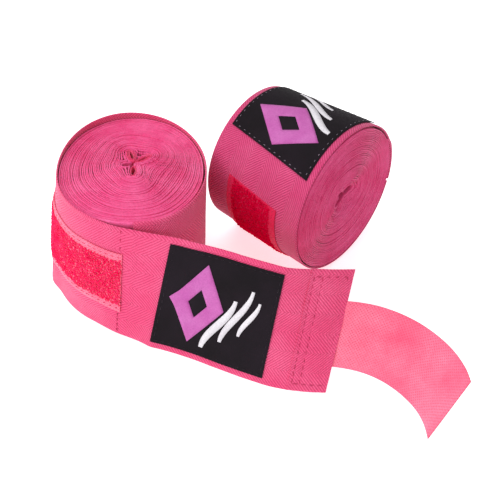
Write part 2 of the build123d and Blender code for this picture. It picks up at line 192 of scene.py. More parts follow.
@dataclass(frozen=True)
class Course(Surface):
    """A strip that stands on its edge and winds along the floor.

    The course is keys of distance, heading, backward lean and forward skew, the last
    three in degrees.
    """

    start: tuple[float, float]
    lift: float
    keys: tuple[tuple[float, float, float, float], ...]
    foot_pull: float = 0.0
    in_metres = True

    def value(self, distance: float, column: int) -> float:
        """One column of the keys at a distance in metres."""
        at = distance / MM
        for low, high in zip(self.keys, self.keys[1:]):
            if at <= high[0]:
                return low[column] + (high[column] - low[column]) * (at - low[0]) / (high[0] - low[0])
        return self.keys[-1][column]

    @lru_cache(maxsize=4096)
    def rib(self, distance: float) -> tuple[Vector, Vector, Vector]:
        """Lower edge, direction up the width and outward direction at a distance."""
        x, y = self.start[0] * MM, self.start[1] * MM
        steps = 40
        for step in range(steps):
            heading = math.radians(self.value(distance * (step + 0.5) / steps, 1))
            x += distance / steps * math.cos(heading)
            y += distance / steps * math.sin(heading)
        heading, lean, skew = (math.radians(self.value(distance, column)) for column in (1, 2, 3))
        forward = Vector((math.cos(heading), math.sin(heading), 0))
        upright = Vector((
            -math.sin(heading) * math.sin(lean), math.cos(heading) * math.sin(lean), math.cos(lean)
        ))
        width = upright * math.cos(skew) + forward * math.sin(skew)
        square = forward * math.cos(skew) - upright * math.sin(skew)
        return Vector((x, y, self.lift * MM)), width, -width.cross(square)

    def point(self, along: float, up: float, out: float) -> Vector:
        """A place on the strip; along is the distance in metres."""
        edge, width, outward = self.rib(round(along, 7))
        pull = self.foot_pull * (1 - ease(along, 0, 10 * MM)) * (1 - up / BAND_WIDTH)
        return edge + width * up + outward * out + Vector((0, pull, 0))


@dataclass(frozen=True)
class LyingRoll(Surface):
    """The side of the closed roll: along is degrees from straight up towards the front."""

    foot: tuple[float, float] = (38.43 * MM, 21.94 * MM)
    heading: float = -37.8
    near_radius: float = 33.0 * MM
    far_radius: float = 30.2 * MM
    stand: float = 1.9 * MM

    @cached_property
    def axes(self) -> tuple[Vector, Vector, Vector]:
        """The roll's axis towards its near face, its upright, and across towards the front."""
        tilt = math.atan2(self.near_radius - self.far_radius, BAND_WIDTH)
        heading = math.radians(self.heading)
        forward = Vector((math.cos(heading), math.sin(heading), 0))
        axis = forward * math.cos(tilt) + Vector((0, 0, 1)) * math.sin(tilt)
        upright = Vector((0, 0, 1)) * math.cos(tilt) - forward * math.sin(tilt)
        return axis, upright, axis.cross(upright)

    @cached_property
    def near_centre(self) -> Vector:
        """Centre of the near face."""
        return Vector((*self.foot, 0)) + self.axes[1] * (self.near_radius + self.stand)

    def point(self, along: float, up: float, out: float) -> Vector:
        """A place on the roll's side; up is the depth behind its near face."""
        axis, upright, across_roll = self.axes
        angle = math.radians(along)
        radius = self.near_radius + (self.far_radius - self.near_radius) * up / BAND_WIDTH + out
        outward = upright * math.cos(angle) + across_roll * math.sin(angle)
        return self.near_centre - axis * up + outward * radius

    def inside(self, x: float, y: float, up: float) -> Vector:
        """A place in the roll, from its flat coordinates about the near centre and its depth."""
        axis, upright, across_roll = self.axes
        return self.near_centre - axis * up + upright * x + across_roll * y


@dataclass(frozen=True)
class LooseTurn(Surface):
    """The outer turn as the cloth really lies: swollen behind, its foot drawn in at the front left."""

    swell: float = 1.7 * MM
    tuck: float = 1.3 * MM
    foot_tuck: float = 4.5 * MM
    foot_pull: float = 9 * MM
    back_rise: float = 2.0 * MM
    front_drop: float = 2.0 * MM

    def point(self, along: float, up: float, out: float) -> Vector:
        """A place on the turn; along is degrees round it and up is its height."""
        share = up / BAND_WIDTH
        front = ease(along, 236, 276)
        grown = ease(along, -70, 0) * (1 - ease(along, 200, 262))
        grown *= self.swell - 0.4 * MM * math.cos(math.radians(along))
        bulge = 0.35 * MM * ripple(along * 0.012, up * 14, 2.0)
        bulge += 0.12 * MM * ripple(along * 0.038, up * 60, 4.0)
        tucked = (self.tuck + self.foot_tuck * (1 - share)) * (1 - ease(along, -84, -48))
        here = STANDING.point(along, up, out + grown + bulge - tucked)
        here.y += self.foot_pull * ease(along, 185, 216) * (1 - ease(along, 245, 300)) * (1 - share)
        here.z += self.back_rise * math.exp(-(((along - 120) / 55) ** 2)) * share
        here.z += front * (0.45 * MM * (1 - share) - self.front_drop * share)
        return here


@dataclass(frozen=True)
class SlewedRoll(LyingRoll):
    """The closed roll's side as its label and patch lie on it, running forward to the near face."""

    slew: float = 14.0

    def point(self, along: float, up: float, out: float) -> Vector:
        """A place on the roll's side; up is the depth behind its near face."""
        return LYING.point(along + self.slew * (1 - up / BAND_WIDTH), up, out)


@dataclass(frozen=True)
class FoldedLoop(Surface):
    """A tape folded into a flat loop in a roll's core: along is degrees round it.

    place turns flat coordinates and a place across the band into a place in the roll. With
    a pitch the loop closes in on each turn.
    """

    place: Callable[[float, float, float], Vector]
    half_length: float
    half_gap: float
    angle: float
    pitch: float = 0.0

    def point(self, along: float, up: float, out: float) -> Vector:
        """A place on the loop."""
        radians, turn = math.radians(along), math.radians(self.angle)
        inward = out - self.pitch * along / 360
        x = (self.half_length + inward) * math.cos(radians)
        y = (self.half_gap + inward) * math.sin(radians)
        return self.place(
            x * math.cos(turn) - y * math.sin(turn), x * math.sin(turn) + y * math.cos(turn), up
        )


def standing_place(centre: tuple[float, float]) -> Callable[[float, float, float], Vector]:
    """How flat coordinates about an upright line become places."""
    return lambda x, y, up: Vector((centre[0] + x, centre[1] + y, up))


STANDING = OuterTurn()
LOOSE = LooseTurn()
LYING = LyingRoll()
SLEWED = SlewedRoll()
FLAP = Course((-47.47, -35.06), 0.45, (
    (0.0, 0.0, 18.0, 3.0), (14.0, -14.0, 20.0, 8.0), (32.0, -22.0, 22.0, 3.0),
    (56.0, -18.0, 24.0, 0.0), (68.0, -4.0, 30.0, 5.0), (82.0, 4.0, 35.0, 11.0),
), foot_pull=3.6 * MM)
TAB = Course((33.43, -46.71), 9.0, (
    (0.0, -2.0, 35.0, 11.0), (9.0, -13.0, 39.0, 7.0), (23.0, -37.0, 40.0, 0.0),
    (35.0, -54.0, 38.0, -6.0), (46.0, -77.0, 35.0, -16.0), (52.0, -86.0, 35.0, -24.0),
))


# ================================================================ meshes
def new_object(name: str, mesh: bpy.types.Mesh) -> Piece:
    """Puts a mesh in the scene as an object at the origin."""
    piece = bpy.data.objects.new(name, mesh)
    bpy.context.scene.collection.objects.link(piece)
    return piece


def swept(name: str, rows: np.ndarray, places: np.ndarray) -> Piece:
    """Makes a closed strip from its cross-sections.

    Args:
        name: name of the new piece.
        rows: cross-sections along the strip, each a loop of points: up one face of the
            strip, and back down the other.
        places: the cloth's own coordinates of each point, along it and across it.

    Returns:
        The new object, smooth, with its cloth coordinates as its UV map.
    """
    stations, loop = rows.shape[:2]
    half = loop // 2
    index = np.arange(stations * loop).reshape(stations, loop)
    nxt = np.roll(index, -1, axis=1)
    sides = np.stack([index[:-1], nxt[:-1], nxt[1:], index[1:]], axis=-1).reshape(-1, 4)
    caps = []
    for row in (index[0], index[-1]):
        back = row[::-1]
        caps += [(row[i], row[i + 1], back[i + 1], back[i]) for i in range(half - 1)]
    faces = np.concatenate([sides, np.array(caps)])
    mesh = bpy.data.meshes.new(name)
    mesh.from_pydata(rows.reshape(-1, 3).tolist(), [], faces.tolist())
    mesh.uv_layers.new(name="cloth")
    corners = np.empty(len(mesh.loops), int)
    mesh.loops.foreach_get("vertex_index", corners)
    mesh.uv_layers["cloth"].data.foreach_set("uv", places.reshape(-1, 2)[corners].ravel())
    shape = bmesh.new()
    shape.from_mesh(mesh)
    bmesh.ops.recalc_face_normals(shape, faces=shape.faces)
    shape.faces.ensure_lookup_table()
    for face in shape.faces:
        face.smooth = True
    for face in shape.faces[len(sides):]:
        for edge in face.edges:
            edge.smooth = False
    shape.to_mesh(mesh)
    shape.free()
    return new_object(name, mesh)


def strip_rows(
    surface: Surface, alongs: Sequence[float], ups: Sequence[float], inner: float, outer: float,
    relief: Optional[Relief] = None, start: float = 0.0,
) -> tuple[np.ndarray, np.ndarray]:
    """Cross-sections of a strip of cloth on a surface.

    Args:
        surface: what it lies on.
        alongs: where along the surface the cross-sections are.
        ups: places across the strip, from one edge to the other.
        inner: how far off the surface its inner face lies.
        outer: how far off the surface its outer face lies.
        relief: how far the cloth bulges outwards at a place along and across it.
        start: the cloth's own coordinate at the first cross-section.

    Returns:
        The rows and the cloth coordinates that swept takes.
    """
    middle, half = (inner + outer) / 2, (outer - inner) / 2
    count = len(ups)
    round_off = [0.35 if i in (0, count - 1) else 0.9 if i in (1, count - 2) else 1.0 for i in range(count)]
    rows, places, travelled, last = [], [], start, None
    for along in alongs:
        here = surface.point(along, (ups[0] + ups[-1]) / 2, middle)
        travelled += (here - last).length if last is not None else 0.0
        last = here
        bulge = [relief(travelled, up) if relief else 0.0 for up in ups]
        outside, inside = (
            [
                surface.point(along, up, middle + side * half * r + b)
                for up, r, b in zip(ups, round_off, bulge)
            ]
            for side in (1, -1)
        )
        rows.append(outside + inside[::-1])
        places.append([(travelled, up) for up in ups] + [(travelled, up) for up in ups[::-1]])
    return np.array([[tuple(p) for p in row] for row in rows]), np.array(places)


def strip(
    name: str, surface: Surface, alongs: Sequence[float], ups: Sequence[float], inner: float,
    outer: float, relief: Optional[Relief] = None,
) -> Piece:
    """A closed strip of cloth on a surface; its arguments are those of strip_rows."""
    return swept(name, *strip_rows(surface, alongs, ups, inner, outer, relief))


def copies(name: str, master: Piece, seats: Iterable[Matrix]) -> Piece:
    """One mesh of many copies of a small piece, each at its own place.

    Args:
        name: name of the new piece.
        master: the small piece, which is removed.
        seats: where each copy goes.

    Returns:
        The new object.
    """
    mesh = master.data
    count = len(mesh.vertices)
    corners = np.empty(count * 3)
    mesh.vertices.foreach_get("co", corners)
    corners = np.c_[corners.reshape(-1, 3), np.ones(count)]
    polygons = [list(polygon.vertices) for polygon in mesh.polygons]
    points, faces = [], []
    for number, seat in enumerate(seats):
        points.append((corners @ np.array(seat).T)[:, :3])
        faces += [[vertex + number * count for vertex in polygon] for polygon in polygons]
    joined = bpy.data.meshes.new(name)
    joined.from_pydata(np.concatenate(points).tolist(), [], faces)
    joined.shade_smooth()
    bpy.data.objects.remove(master)
    return new_object(name, joined)


def fresh_primitive(add: Callable[..., object], **sizes: object) -> Piece:
    """Adds a primitive with nothing else selected, and gives its object."""
    if bpy.context.object is not None and bpy.context.object.mode != "OBJECT":
        bpy.ops.object.mode_set(mode="OBJECT")
    bpy.ops.object.select_all(action="DESELECT")
    add(**sizes)
    return bpy.context.object


def thread_stitch(length: float = STITCH_LENGTH, thickness: float = 0.42 * MM) -> Piece:
    """One stitch of thread, lying along X, its ends dipping into the cloth."""
    piece = fresh_primitive(
        bpy.ops.mesh.primitive_cylinder_add, vertices=6, radius=thickness / 2, depth=length,
        end_fill_type="NGON", rotation=(0, math.pi / 2, 0),
    )
    bpy.ops.object.transform_apply(location=False, rotation=True, scale=False)
    bpy.ops.object.mode_set(mode="EDIT")
    bpy.ops.mesh.select_all(action="SELECT")
    bpy.ops.mesh.bevel(offset=thickness * 0.3, segments=1, affect="EDGES")
    bpy.ops.object.mode_set(mode="OBJECT")
    for vertex in piece.data.vertices:
        vertex.co.z -= (vertex.co.x / (length / 2)) ** 2 * thickness * 0.4
    return piece


def thread_arch(height: float, thickness: float, shear: float = 0.0) -> Piece:
    """A loop of fibre standing on the XY plane, with its foot closed."""
    piece = fresh_primitive(
        bpy.ops.mesh.primitive_torus_add, major_segments=8, minor_segments=4,
        major_radius=height, minor_radius=thickness / 2, rotation=(math.pi / 2, 0, 0),
    )
    bpy.ops.object.transform_apply(location=False, rotation=True, scale=False)
    bpy.ops.object.mode_set(mode="EDIT")
    bpy.ops.mesh.select_all(action="SELECT")
    bpy.ops.mesh.bisect(
        plane_co=(0, 0, 0), plane_no=(shear, 0, 1), use_fill=True, clear_inner=True, threshold=1e-7
    )
    bpy.ops.object.mode_set(mode="OBJECT")
    return piece


# ================================================================ finishes
class Weave(Enum):
    """How a cloth's surface is made."""

    HERRINGBONE = "herringbone"
    MESH = "mesh"
    FIBRE = "fibre"


WEAVE_SOCKETS = {"Place": "NodeSocketVector", "Pitch": "NodeSocketFloat", "Column": "NodeSocketFloat"}


def math_node(tree: Tree, operation: str, *values: object) -> Socket:
    """A Math node on sockets or plain numbers, and its output."""
    node = tree.nodes.new("ShaderNodeMath")
    node.operation = operation
    for socket, value in zip(node.inputs, values):
        if isinstance(value, (int, float)):
            socket.default_value = value
        else:
            tree.links.new(value, socket)
    return node.outputs[0]


def new_group(name: str, inputs: dict[str, str], outputs: Sequence[str]) -> Tree:
    """An empty shader node group with named sockets."""
    tree = bpy.data.node_groups.new(name, "ShaderNodeTree")
    for label, kind in inputs.items():
        tree.interface.new_socket(label, in_out="INPUT", socket_type=kind)
    for label in outputs:
        tree.interface.new_socket(label, in_out="OUTPUT", socket_type="NodeSocketFloat")
    return tree


def split_place(tree: Tree) -> tuple:
    """The group's input and output nodes, and the place's three parts."""
    given, made = tree.nodes.new("NodeGroupInput"), tree.nodes.new("NodeGroupOutput")
    parts = tree.nodes.new("ShaderNodeSeparateXYZ")
    tree.links.new(given.outputs["Place"], parts.inputs[0])
    return given, made, parts.outputs["X"], parts.outputs["Y"], parts.outputs["Z"]


def wave(tree: Tree, place: object, pitch: object) -> Socket:
    """A wave from 0 to 1 that repeats each pitch."""
    turns = math_node(tree, "DIVIDE", place, pitch)
    swing = math_node(tree, "SINE", math_node(tree, "MULTIPLY", turns, math.tau))
    return math_node(tree, "MULTIPLY_ADD", swing, 0.5, 0.5)


@lru_cache(maxsize=None)
def herringbone_group() -> Tree:
    """Twill ribs that change side in each column across the cloth."""
    tree = new_group("herringbone", WEAVE_SOCKETS, ("Height", "Groove"))
    given, made, along, up, _ = split_place(tree)
    column = math_node(tree, "FLOOR", math_node(tree, "DIVIDE", up, given.outputs["Column"]))
    side = math_node(tree, "MULTIPLY_ADD", math_node(tree, "FLOORED_MODULO", column, 2.0), -2.0, 1.0)
    slope = math_node(tree, "MULTIPLY", side, up)
    rib = wave(tree, math_node(tree, "ADD", along, slope), given.outputs["Pitch"])
    fine = math_node(tree, "MULTIPLY", given.outputs["Pitch"], 0.42)
    cross = wave(tree, math_node(tree, "SUBTRACT", along, slope), fine)
    grain = math_node(tree, "MULTIPLY_ADD", cross, 0.3, 0.7)
    tree.links.new(math_node(tree, "MULTIPLY", rib, grain), made.inputs["Height"])
    # Groove is a painted-shade mask, strongest where the ribs sink lowest.
    groove = math_node(tree, "POWER", math_node(tree, "SUBTRACT", 1.0, rib), 2.2)
    tree.links.new(groove, made.inputs["Groove"])
    return tree


@lru_cache(maxsize=None)
def mesh_group() -> Tree:
    """A plain weave with a small gap at each crossing, in staggered rows."""
    tree = new_group("open_weave", WEAVE_SOCKETS, ("Height", "Groove"))
    given, made, along, up, _ = split_place(tree)
    first = wave(tree, math_node(tree, "ADD", along, up), given.outputs["Pitch"])
    second = wave(tree, math_node(tree, "SUBTRACT", along, up), given.outputs["Pitch"])
    cell = math_node(tree, "MULTIPLY", first, second)
    tree.links.new(math_node(tree, "SUBTRACT", 1.0, cell), made.inputs["Height"])
    # Groove is a painted-shade mask, strongest in the gaps at the crossings.
    tree.links.new(math_node(tree, "POWER", cell, 2.5), made.inputs["Groove"])
    return tree


@lru_cache(maxsize=None)
def mottle_group() -> Tree:
    """Uneven colour at two scales, and fluff finer than either."""
    inputs = {
        "Place": "NodeSocketVector", "Broad Scale": "NodeSocketFloat", "Fine Scale": "NodeSocketFloat",
    }
    tree = new_group("mottle", inputs, ("Broad", "Fine"))
    given, made = tree.nodes.new("NodeGroupInput"), tree.nodes.new("NodeGroupOutput")
    for label in ("Broad", "Fine"):
        cloud = tree.nodes.new("ShaderNodeTexNoise")
        cloud.inputs["Detail"].default_value = 4.0
        cloud.inputs["Roughness"].default_value = 0.6
        tree.links.new(given.outputs["Place"], cloud.inputs["Vector"])
        tree.links.new(given.outputs[f"{label} Scale"], cloud.inputs["Scale"])
        tree.links.new(cloud.outputs["Fac"], made.inputs[label])
    return tree


@dataclass(frozen=True)
class Finish:
    """How one cloth, tape or thread looks.

    body is its main colour, light what its raised and worn parts turn towards, and shade
    the painted shade of what lies deep in the weave: its grooves and the low spots of its fluff. relief is
    how deep the weave is.
    """

    name: str
    body: Colour
    light: Colour
    shade: Colour
    weave: Weave = Weave.FIBRE
    pitch: float = 1.2 * MM
    column: float = 8.0 * MM
    relief: float = 0.12 * MM
    groove: float = 0.5
    unevenness: float = 0.5
    broad_scale: float = 60.0
    fine_scale: float = 1800.0
    roughness: float = 0.85
    sheen: float = 0.25
    specular: float = 0.2

    def material(self) -> bpy.types.Material:
        """The finish as a material, made once."""
        return bpy.data.materials.get(self.name) or self._make()

    def _make(self) -> bpy.types.Material:
        """Builds the material's nodes."""
        made = bpy.data.materials.new(self.name)
        made.use_nodes = True
        tree = made.node_tree
        shader = tree.nodes["Principled BSDF"]
        shader.inputs["Sheen Weight"].default_value = self.sheen
        shader.inputs["Sheen Roughness"].default_value = 0.45
        shader.inputs["Specular IOR Level"].default_value = self.specular
        solid = tree.nodes.new("ShaderNodeTexCoord").outputs["Object"]
        mottle = tree.nodes.new("ShaderNodeGroup")
        mottle.node_tree = mottle_group()
        mottle.inputs["Broad Scale"].default_value = self.broad_scale
        mottle.inputs["Fine Scale"].default_value = self.fine_scale
        tree.links.new(solid, mottle.inputs["Place"])
        broad = self._stretch(tree, mottle.outputs["Broad"], 0.35, 0.7, self.unevenness)
        colour = self._mix(tree, broad, self.body, self.light)
        # Painted shade: the fine fluff turns towards shade where its bump sinks.
        depth = self._stretch(tree, mottle.outputs["Fine"], 0.62, 0.3, 0.35)
        colour = self._mix(tree, depth, colour, self.shade)
        normal = self._bump(tree, mottle.outputs["Fine"], self.relief * 0.7, None)
        if self.weave is not Weave.FIBRE:
            cloth = tree.nodes.new("ShaderNodeUVMap")
            cloth.uv_map = "cloth"
            pattern = tree.nodes.new("ShaderNodeGroup")
            pattern.node_tree = herringbone_group() if self.weave is Weave.HERRINGBONE else mesh_group()
            pattern.inputs["Pitch"].default_value = self.pitch
            pattern.inputs["Column"].default_value = self.column
            tree.links.new(cloth.outputs["UV"], pattern.inputs["Place"])
            # Painted shade: the weave's grooves turn towards shade.
            groove = math_node(tree, "MULTIPLY", pattern.outputs["Groove"], self.groove)
            colour = self._mix(tree, groove, colour, self.shade)
            normal = self._bump(tree, pattern.outputs["Height"], self.relief, normal)
        tree.links.new(colour, shader.inputs["Base Color"])
        tree.links.new(normal, shader.inputs["Normal"])
        rough = math_node(tree, "MULTIPLY_ADD", mottle.outputs["Fine"], 0.2, self.roughness - 0.1)
        tree.links.new(rough, shader.inputs["Roughness"])
        return made

    @staticmethod
    def _stretch(
        tree: Tree, value: Socket, low: float, high: float, most: float
    ) -> Socket:
        """A value between low and high spread over 0 to most."""
        node = tree.nodes.new("ShaderNodeMapRange")
        node.inputs["From Min"].default_value = low
        node.inputs["From Max"].default_value = high
        node.inputs["To Max"].default_value = most
        tree.links.new(value, node.inputs["Value"])
        return node.outputs["Result"]

    @staticmethod
    def _mix(
        tree: Tree, share: Socket, first: object, second: object
    ) -> Socket:
        """Mixes two colours, each a socket or a plain colour."""
        node = tree.nodes.new("ShaderNodeMix")
        node.data_type = "RGBA"
        tree.links.new(share, node.inputs["Factor"])
        for socket, value in ((node.inputs[6], first), (node.inputs[7], second)):
            if isinstance(value, tuple):
                socket.default_value = (*value, 1.0)
            else:
                tree.links.new(value, socket)
        return node.outputs[2]

    @staticmethod
    def _bump(
        tree: Tree, height: Socket, depth: float,
        under: Optional[Socket],
    ) -> Socket:
        """Raises the surface by a height, over an earlier bump if there is one."""
        node = tree.nodes.new("ShaderNodeBump")
        node.inputs["Distance"].default_value = depth
        node.inputs["Strength"].default_value = 1.0
        tree.links.new(height, node.inputs["Height"])
        if under is not None:
            tree.links.new(under, node.inputs["Normal"])
        return node.outputs["Normal"]


BAND_CLOTH = Finish(
    "pink_herringbone_cotton", srgb(238, 80, 130), srgb(252, 122, 164), srgb(192, 42, 90),
    Weave.HERRINGBONE, pitch=1.3 * MM, relief=0.2 * MM, groove=0.8,
)
# Painted shade: the closed wrap's band is a darker copy of the open wrap's cloth, standing in for the shade
# the lying roll sits in.
SHADED_BAND_CLOTH = replace(
    BAND_CLOTH, name="shaded_pink_herringbone_cotton",
    body=srgb(218, 70, 126), light=srgb(238, 110, 158), shade=srgb(168, 34, 80),
)
WOUND_CLOTH = Finish(
    "pink_wound_cotton", srgb(234, 74, 136), srgb(248, 118, 172), srgb(178, 38, 90),
    relief=0.1 * MM, broad_scale=90.0, fine_scale=1200.0, unevenness=0.75,
)
# Painted shade: a darker copy of the wound cloth for the closed wrap's winding, standing in for the shade
# it sits in.
SHADED_WOUND_CLOTH = replace(
    WOUND_CLOTH, name="shaded_pink_wound_cotton",
    body=srgb(218, 62, 122), light=srgb(234, 98, 154), shade=srgb(158, 28, 74),
)
CORE_CLOTH = Finish(
    "rose_core_cotton", srgb(228, 56, 108), srgb(244, 96, 146), srgb(168, 24, 70),
    relief=0.1 * MM, broad_scale=120.0, fine_scale=1200.0, unevenness=0.6,
)
TAPE_CLOTH = Finish(
    "coral_woven_tape", srgb(250, 88, 124), srgb(255, 158, 184), srgb(208, 44, 82),
    Weave.MESH, pitch=1.35 * MM, relief=0.14 * MM, groove=0.85, sheen=0.15, roughness=0.6,
    unevenness=0.6, broad_scale=34.0,
)
# Painted shade: a darker copy of the coral tape for the closed wrap's loop patch, standing in for the shade
# the patch lies in.
SHADED_TAPE_CLOTH = Finish(
    "shaded_coral_woven_tape", srgb(222, 24, 78), srgb(240, 62, 112), srgb(168, 4, 46),
    Weave.MESH, pitch=1.35 * MM, relief=0.14 * MM, groove=0.6, sheen=0.05, roughness=0.7,
)
PILE_FIBRE = Finish(
    "red_pink_loop_pile", srgb(246, 6, 88), srgb(255, 84, 138), srgb(216, 0, 60),
    relief=0.08 * MM, broad_scale=240.0, sheen=0.05, roughness=0.8, specular=0.1,
)
# Painted shade: a darker copy of the loop pile for the closed wrap's patch, standing in for the shade it
# lies in.
SHADED_PILE_FIBRE = Finish(
    "shaded_red_pink_loop_pile", srgb(216, 0, 54), srgb(236, 6, 76), srgb(170, 0, 34),
    relief=0.08 * MM, broad_scale=240.0, sheen=0.0, roughness=0.9, specular=0.0,
)
LABEL_CLOTH = Finish(
    "aubergine_label_satin", srgb(17, 9, 16), srgb(36, 24, 36), srgb(5, 2, 5),
    Weave.MESH, pitch=0.6 * MM, relief=0.06 * MM, groove=0.6, sheen=0.0, roughness=0.85,
)
ORCHID_PRINT = Finish(
    "orchid_print", srgb(186, 88, 164), srgb(206, 122, 188), srgb(140, 56, 122),
    relief=0.03 * MM, broad_scale=140.0, sheen=0.05, roughness=0.6,
)
WHITE_PRINT = Finish(
    "off_white_print", srgb(214, 210, 216), srgb(240, 238, 242), srgb(160, 150, 162),
    relief=0.03 * MM, broad_scale=140.0, sheen=0.05, roughness=0.6,
)
PINK_THREAD = Finish(
    "pink_sewing_thread", srgb(206, 36, 92), srgb(232, 80, 132), srgb(140, 12, 52),
    relief=0.04 * MM, sheen=0.1, roughness=0.55,
)
LABEL_THREAD = Finish(
    "grey_label_thread", srgb(150, 136, 152), srgb(196, 186, 198), srgb(70, 56, 72),
    relief=0.04 * MM, sheen=0.1, roughness=0.55,
)
DARK_LABEL_THREAD = Finish(
    "dark_label_thread", srgb(34, 24, 34), srgb(60, 46, 60), srgb(12, 6, 12),
    relief=0.04 * MM, sheen=0.05, roughness=0.55,
)
HOOK_NYLON = Finish(
    "coral_hook_nylon", srgb(238, 66, 106), srgb(255, 134, 162), srgb(178, 22, 60),
    relief=0.02 * MM, sheen=0.0, roughness=0.4,
)


def dress(
    piece: Piece, finish: Finish, slot: str, body: str, *nodes: str
) -> Piece:
    """Gives a piece its finish, its body and the CAD nodes it stands for."""
    piece.data.materials.append(finish.material())
    if body:
        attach(piece, body)
    if nodes:
        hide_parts(*nodes)
    log.info("made %s, %d faces", piece.name, len(piece.data.polygons))
    return piece


def joint_place(name: str) -> Vector:
    """Where a joint's axis passes, in metres."""
    joint = next(joint for joint in frame["joints"] if joint["name"] == name)
    return Vector(joint["pos_m"])


# ================================================================ wound cores
@dataclass(frozen=True)
class CoreFold:
    """One fold at the heart of a winding, from its centre outwards, with a bulb at its end."""

    length: float
    angle: float
    bulb: float = 0.0

    def reach(self, angle: float, gap: float) -> float:
        """How far out the cloth lies at an angle when it follows this fold at a gap."""
        turn = abs((angle - self.angle + 180) % 360 - 180)
        sine, cosine = math.sin(math.radians(turn)), math.cos(math.radians(turn))
        if turn >= 90:
            narrow = gap
        elif gap * cosine <= self.length * sine:
            narrow = gap / sine
        else:
            narrow = self.length * cosine + math.sqrt(max(0.0, gap * gap - (self.length * sine) ** 2))
        middle = self.length - self.bulb
        inside = (self.bulb + gap) ** 2 - (middle * sine) ** 2
        return max(narrow, middle * cosine + math.sqrt(inside)) if inside > 0 else narrow


@dataclass
class Winding(ABC):
    """A band wound many times round a folded core, flat on its two ends."""

    name: str
    folds: tuple[CoreFold, ...]
    core_centre: tuple[float, float]
    turns: int
    core_turns: float
    core_gap: float
    end_angle: float
    core_pitch: float = 0.62 * MM
    crumple: float = 0.0
    unevenness: float = 0.4 * MM
    seed: float = 0.0
    length: float = field(default=0.0, init=False)

    @abstractmethod
    def outline(self, angle: float) -> tuple[float, float]:
        """The winding's outer edge at an angle, about its centre."""

    @abstractmethod
    def place(self, x: float, y: float, up: float) -> Vector:
        """A place in the winding, from its flat coordinates and its height."""

    def core_reach(self, angle: float, gap: float) -> float:
        """How far out the cloth lies round all the folds at a gap, with its corners eased."""
        power, offsets = 9.0, (-14, -7, 0, 7, 14)
        reaches = [
            sum(fold.reach(angle + offset, gap) ** power for fold in self.folds) ** (1 / power)
            for offset in offsets
        ]
        return sum(reaches) / len(offsets)

    def path(self, turn: float, angle: float) -> tuple[float, float]:
        """Flat place of the band's middle after a number of turns."""
        radians = math.radians(angle)
        gap = self.core_gap + self.core_pitch * min(turn, self.core_turns)
        cosine, sine = math.cos(radians), math.sin(radians)
        stirred = ease(turn, 0.5, 3) * (1 - ease(turn, self.core_turns + 2, self.core_turns + 9))
        reach = self.core_reach(angle, gap)
        reach += self.crumple * stirred * ripple(cosine * 2.2, sine * 2.2 + turn * 0.3, self.seed + 2)
        inner = (self.core_centre[0] + reach * cosine, self.core_centre[1] + reach * sine)
        share = max(0.0, (turn - self.core_turns) / (self.turns - self.core_turns))
        outer = self.outline(angle)
        loose = 4 * share * (1 - share) if share < 1 else 0.0
        share += loose * 0.006 * math.sin(math.tau * turn / 5.3 + 2 * cosine)
        share += loose * 0.006 * ripple(cosine * 1.5, sine * 1.5 + turn * 0.9, self.seed)
        return (inner[0] + (outer[0] - inner[0]) * share, inner[1] + (outer[1] - inner[1]) * share)

    def edge(self, turn: float, angle: float, end: float) -> float:
        """How far the band's edge stands out or in at a place along it, on one end."""
        radians = math.radians(angle)
        ring = ripple(turn * 0.83, end * 7.0, self.seed + 3)
        group = ripple(math.cos(radians) * 0.8 + turn * 0.21, math.sin(radians) * 0.8, self.seed + 5 + end)
        local = ripple(math.cos(radians) * 3, math.sin(radians) * 3 + turn * 1.7, self.seed + 9 + end)
        return self.unevenness * (0.9 * ring + 0.8 * group + 0.5 * local)

    def build(self, ups: Sequence[float]) -> Piece:
        """Makes the winding as one long strip of cloth.

        Args:
            ups: places across the band, its two edges first and last.

        Returns:
            The new object.
        """
        stations: list[tuple[float, float]] = []
        turn = 0.0
        while turn < self.turns:
            stations.append((turn, self.end_angle - (self.turns - turn) * 360))
            turn += 1 / (220 if turn < self.core_turns + 2 else 112)
        stations.append((float(self.turns), self.end_angle))
        rows, places, travelled, last = [], [], 0.0, None
        for turn, angle in stations:
            x, y = self.path(turn, angle)
            ahead = self.path(turn, angle + 0.8)
            beyond = self.path(min(turn + 1, self.turns + 1.0), angle)
            tangent = Vector((ahead[0] - x, ahead[1] - y)).normalized()
            outward = Vector((tangent.y, -tangent.x))
            pitch = abs((Vector(beyond) - Vector((x, y))).dot(outward))
            half = min(0.36 * MM, max(0.16 * MM, pitch * 0.42))
            if last is not None:
                travelled += math.hypot(x - last[0], y - last[1])
            last = (x, y)
            low, high = self.edge(turn, angle, 0.0), self.edge(turn, angle, 1.0)
            faces = []
            for side in (1, -1):
                face = []
                for number, up in enumerate(ups):
                    tip = 0.35 if number in (0, len(ups) - 1) else 1.0
                    height = up + (low if number < 2 else high if number >= len(ups) - 2 else 0.0)
                    shift = outward * half * tip * side
                    face.append(self.place(x + shift.x, y + shift.y, height))
                faces.append(face)
            rows.append(faces[0] + faces[1][::-1])
            places.append([(travelled, up) for up in ups] + [(travelled, up) for up in ups[::-1]])
        self.length = travelled
        return swept(self.name, np.array([[tuple(p) for p in row] for row in rows]), np.array(places))


@dataclass
class StandingWinding(Winding):
    """The open wrap's winding: it stands on its edge, oval, with a slightly domed top."""

    centre: tuple[float, float] = (-50.77 * MM, 15.69 * MM)
    radii: tuple[float, float] = (28.85 * MM, 32.8 * MM)
    dome: float = 1.0 * MM

    def outline(self, angle: float) -> tuple[float, float]:
        """The inner face of the loose outer turn, at its top."""
        along = (angle + 84) % 360 - 84
        inset = BAND_THICKNESS + 0.4 * MM + LOOSE.tuck * ease(along, 236, 274)
        edge = LOOSE.point(along, 49 * MM, -inset)
        return edge.x - self.centre[0], edge.y - self.centre[1]

    def place(self, x: float, y: float, up: float) -> Vector:
        """A place in the winding; its top is domed."""
        share = min(1.0, math.hypot(x / self.radii[0], y / self.radii[1]))
        raised = self.dome * (1 - share * share) * ease(up, 20 * MM, 40 * MM)
        return Vector((self.centre[0] + x, self.centre[1] + y, max(0.0, up + raised)))


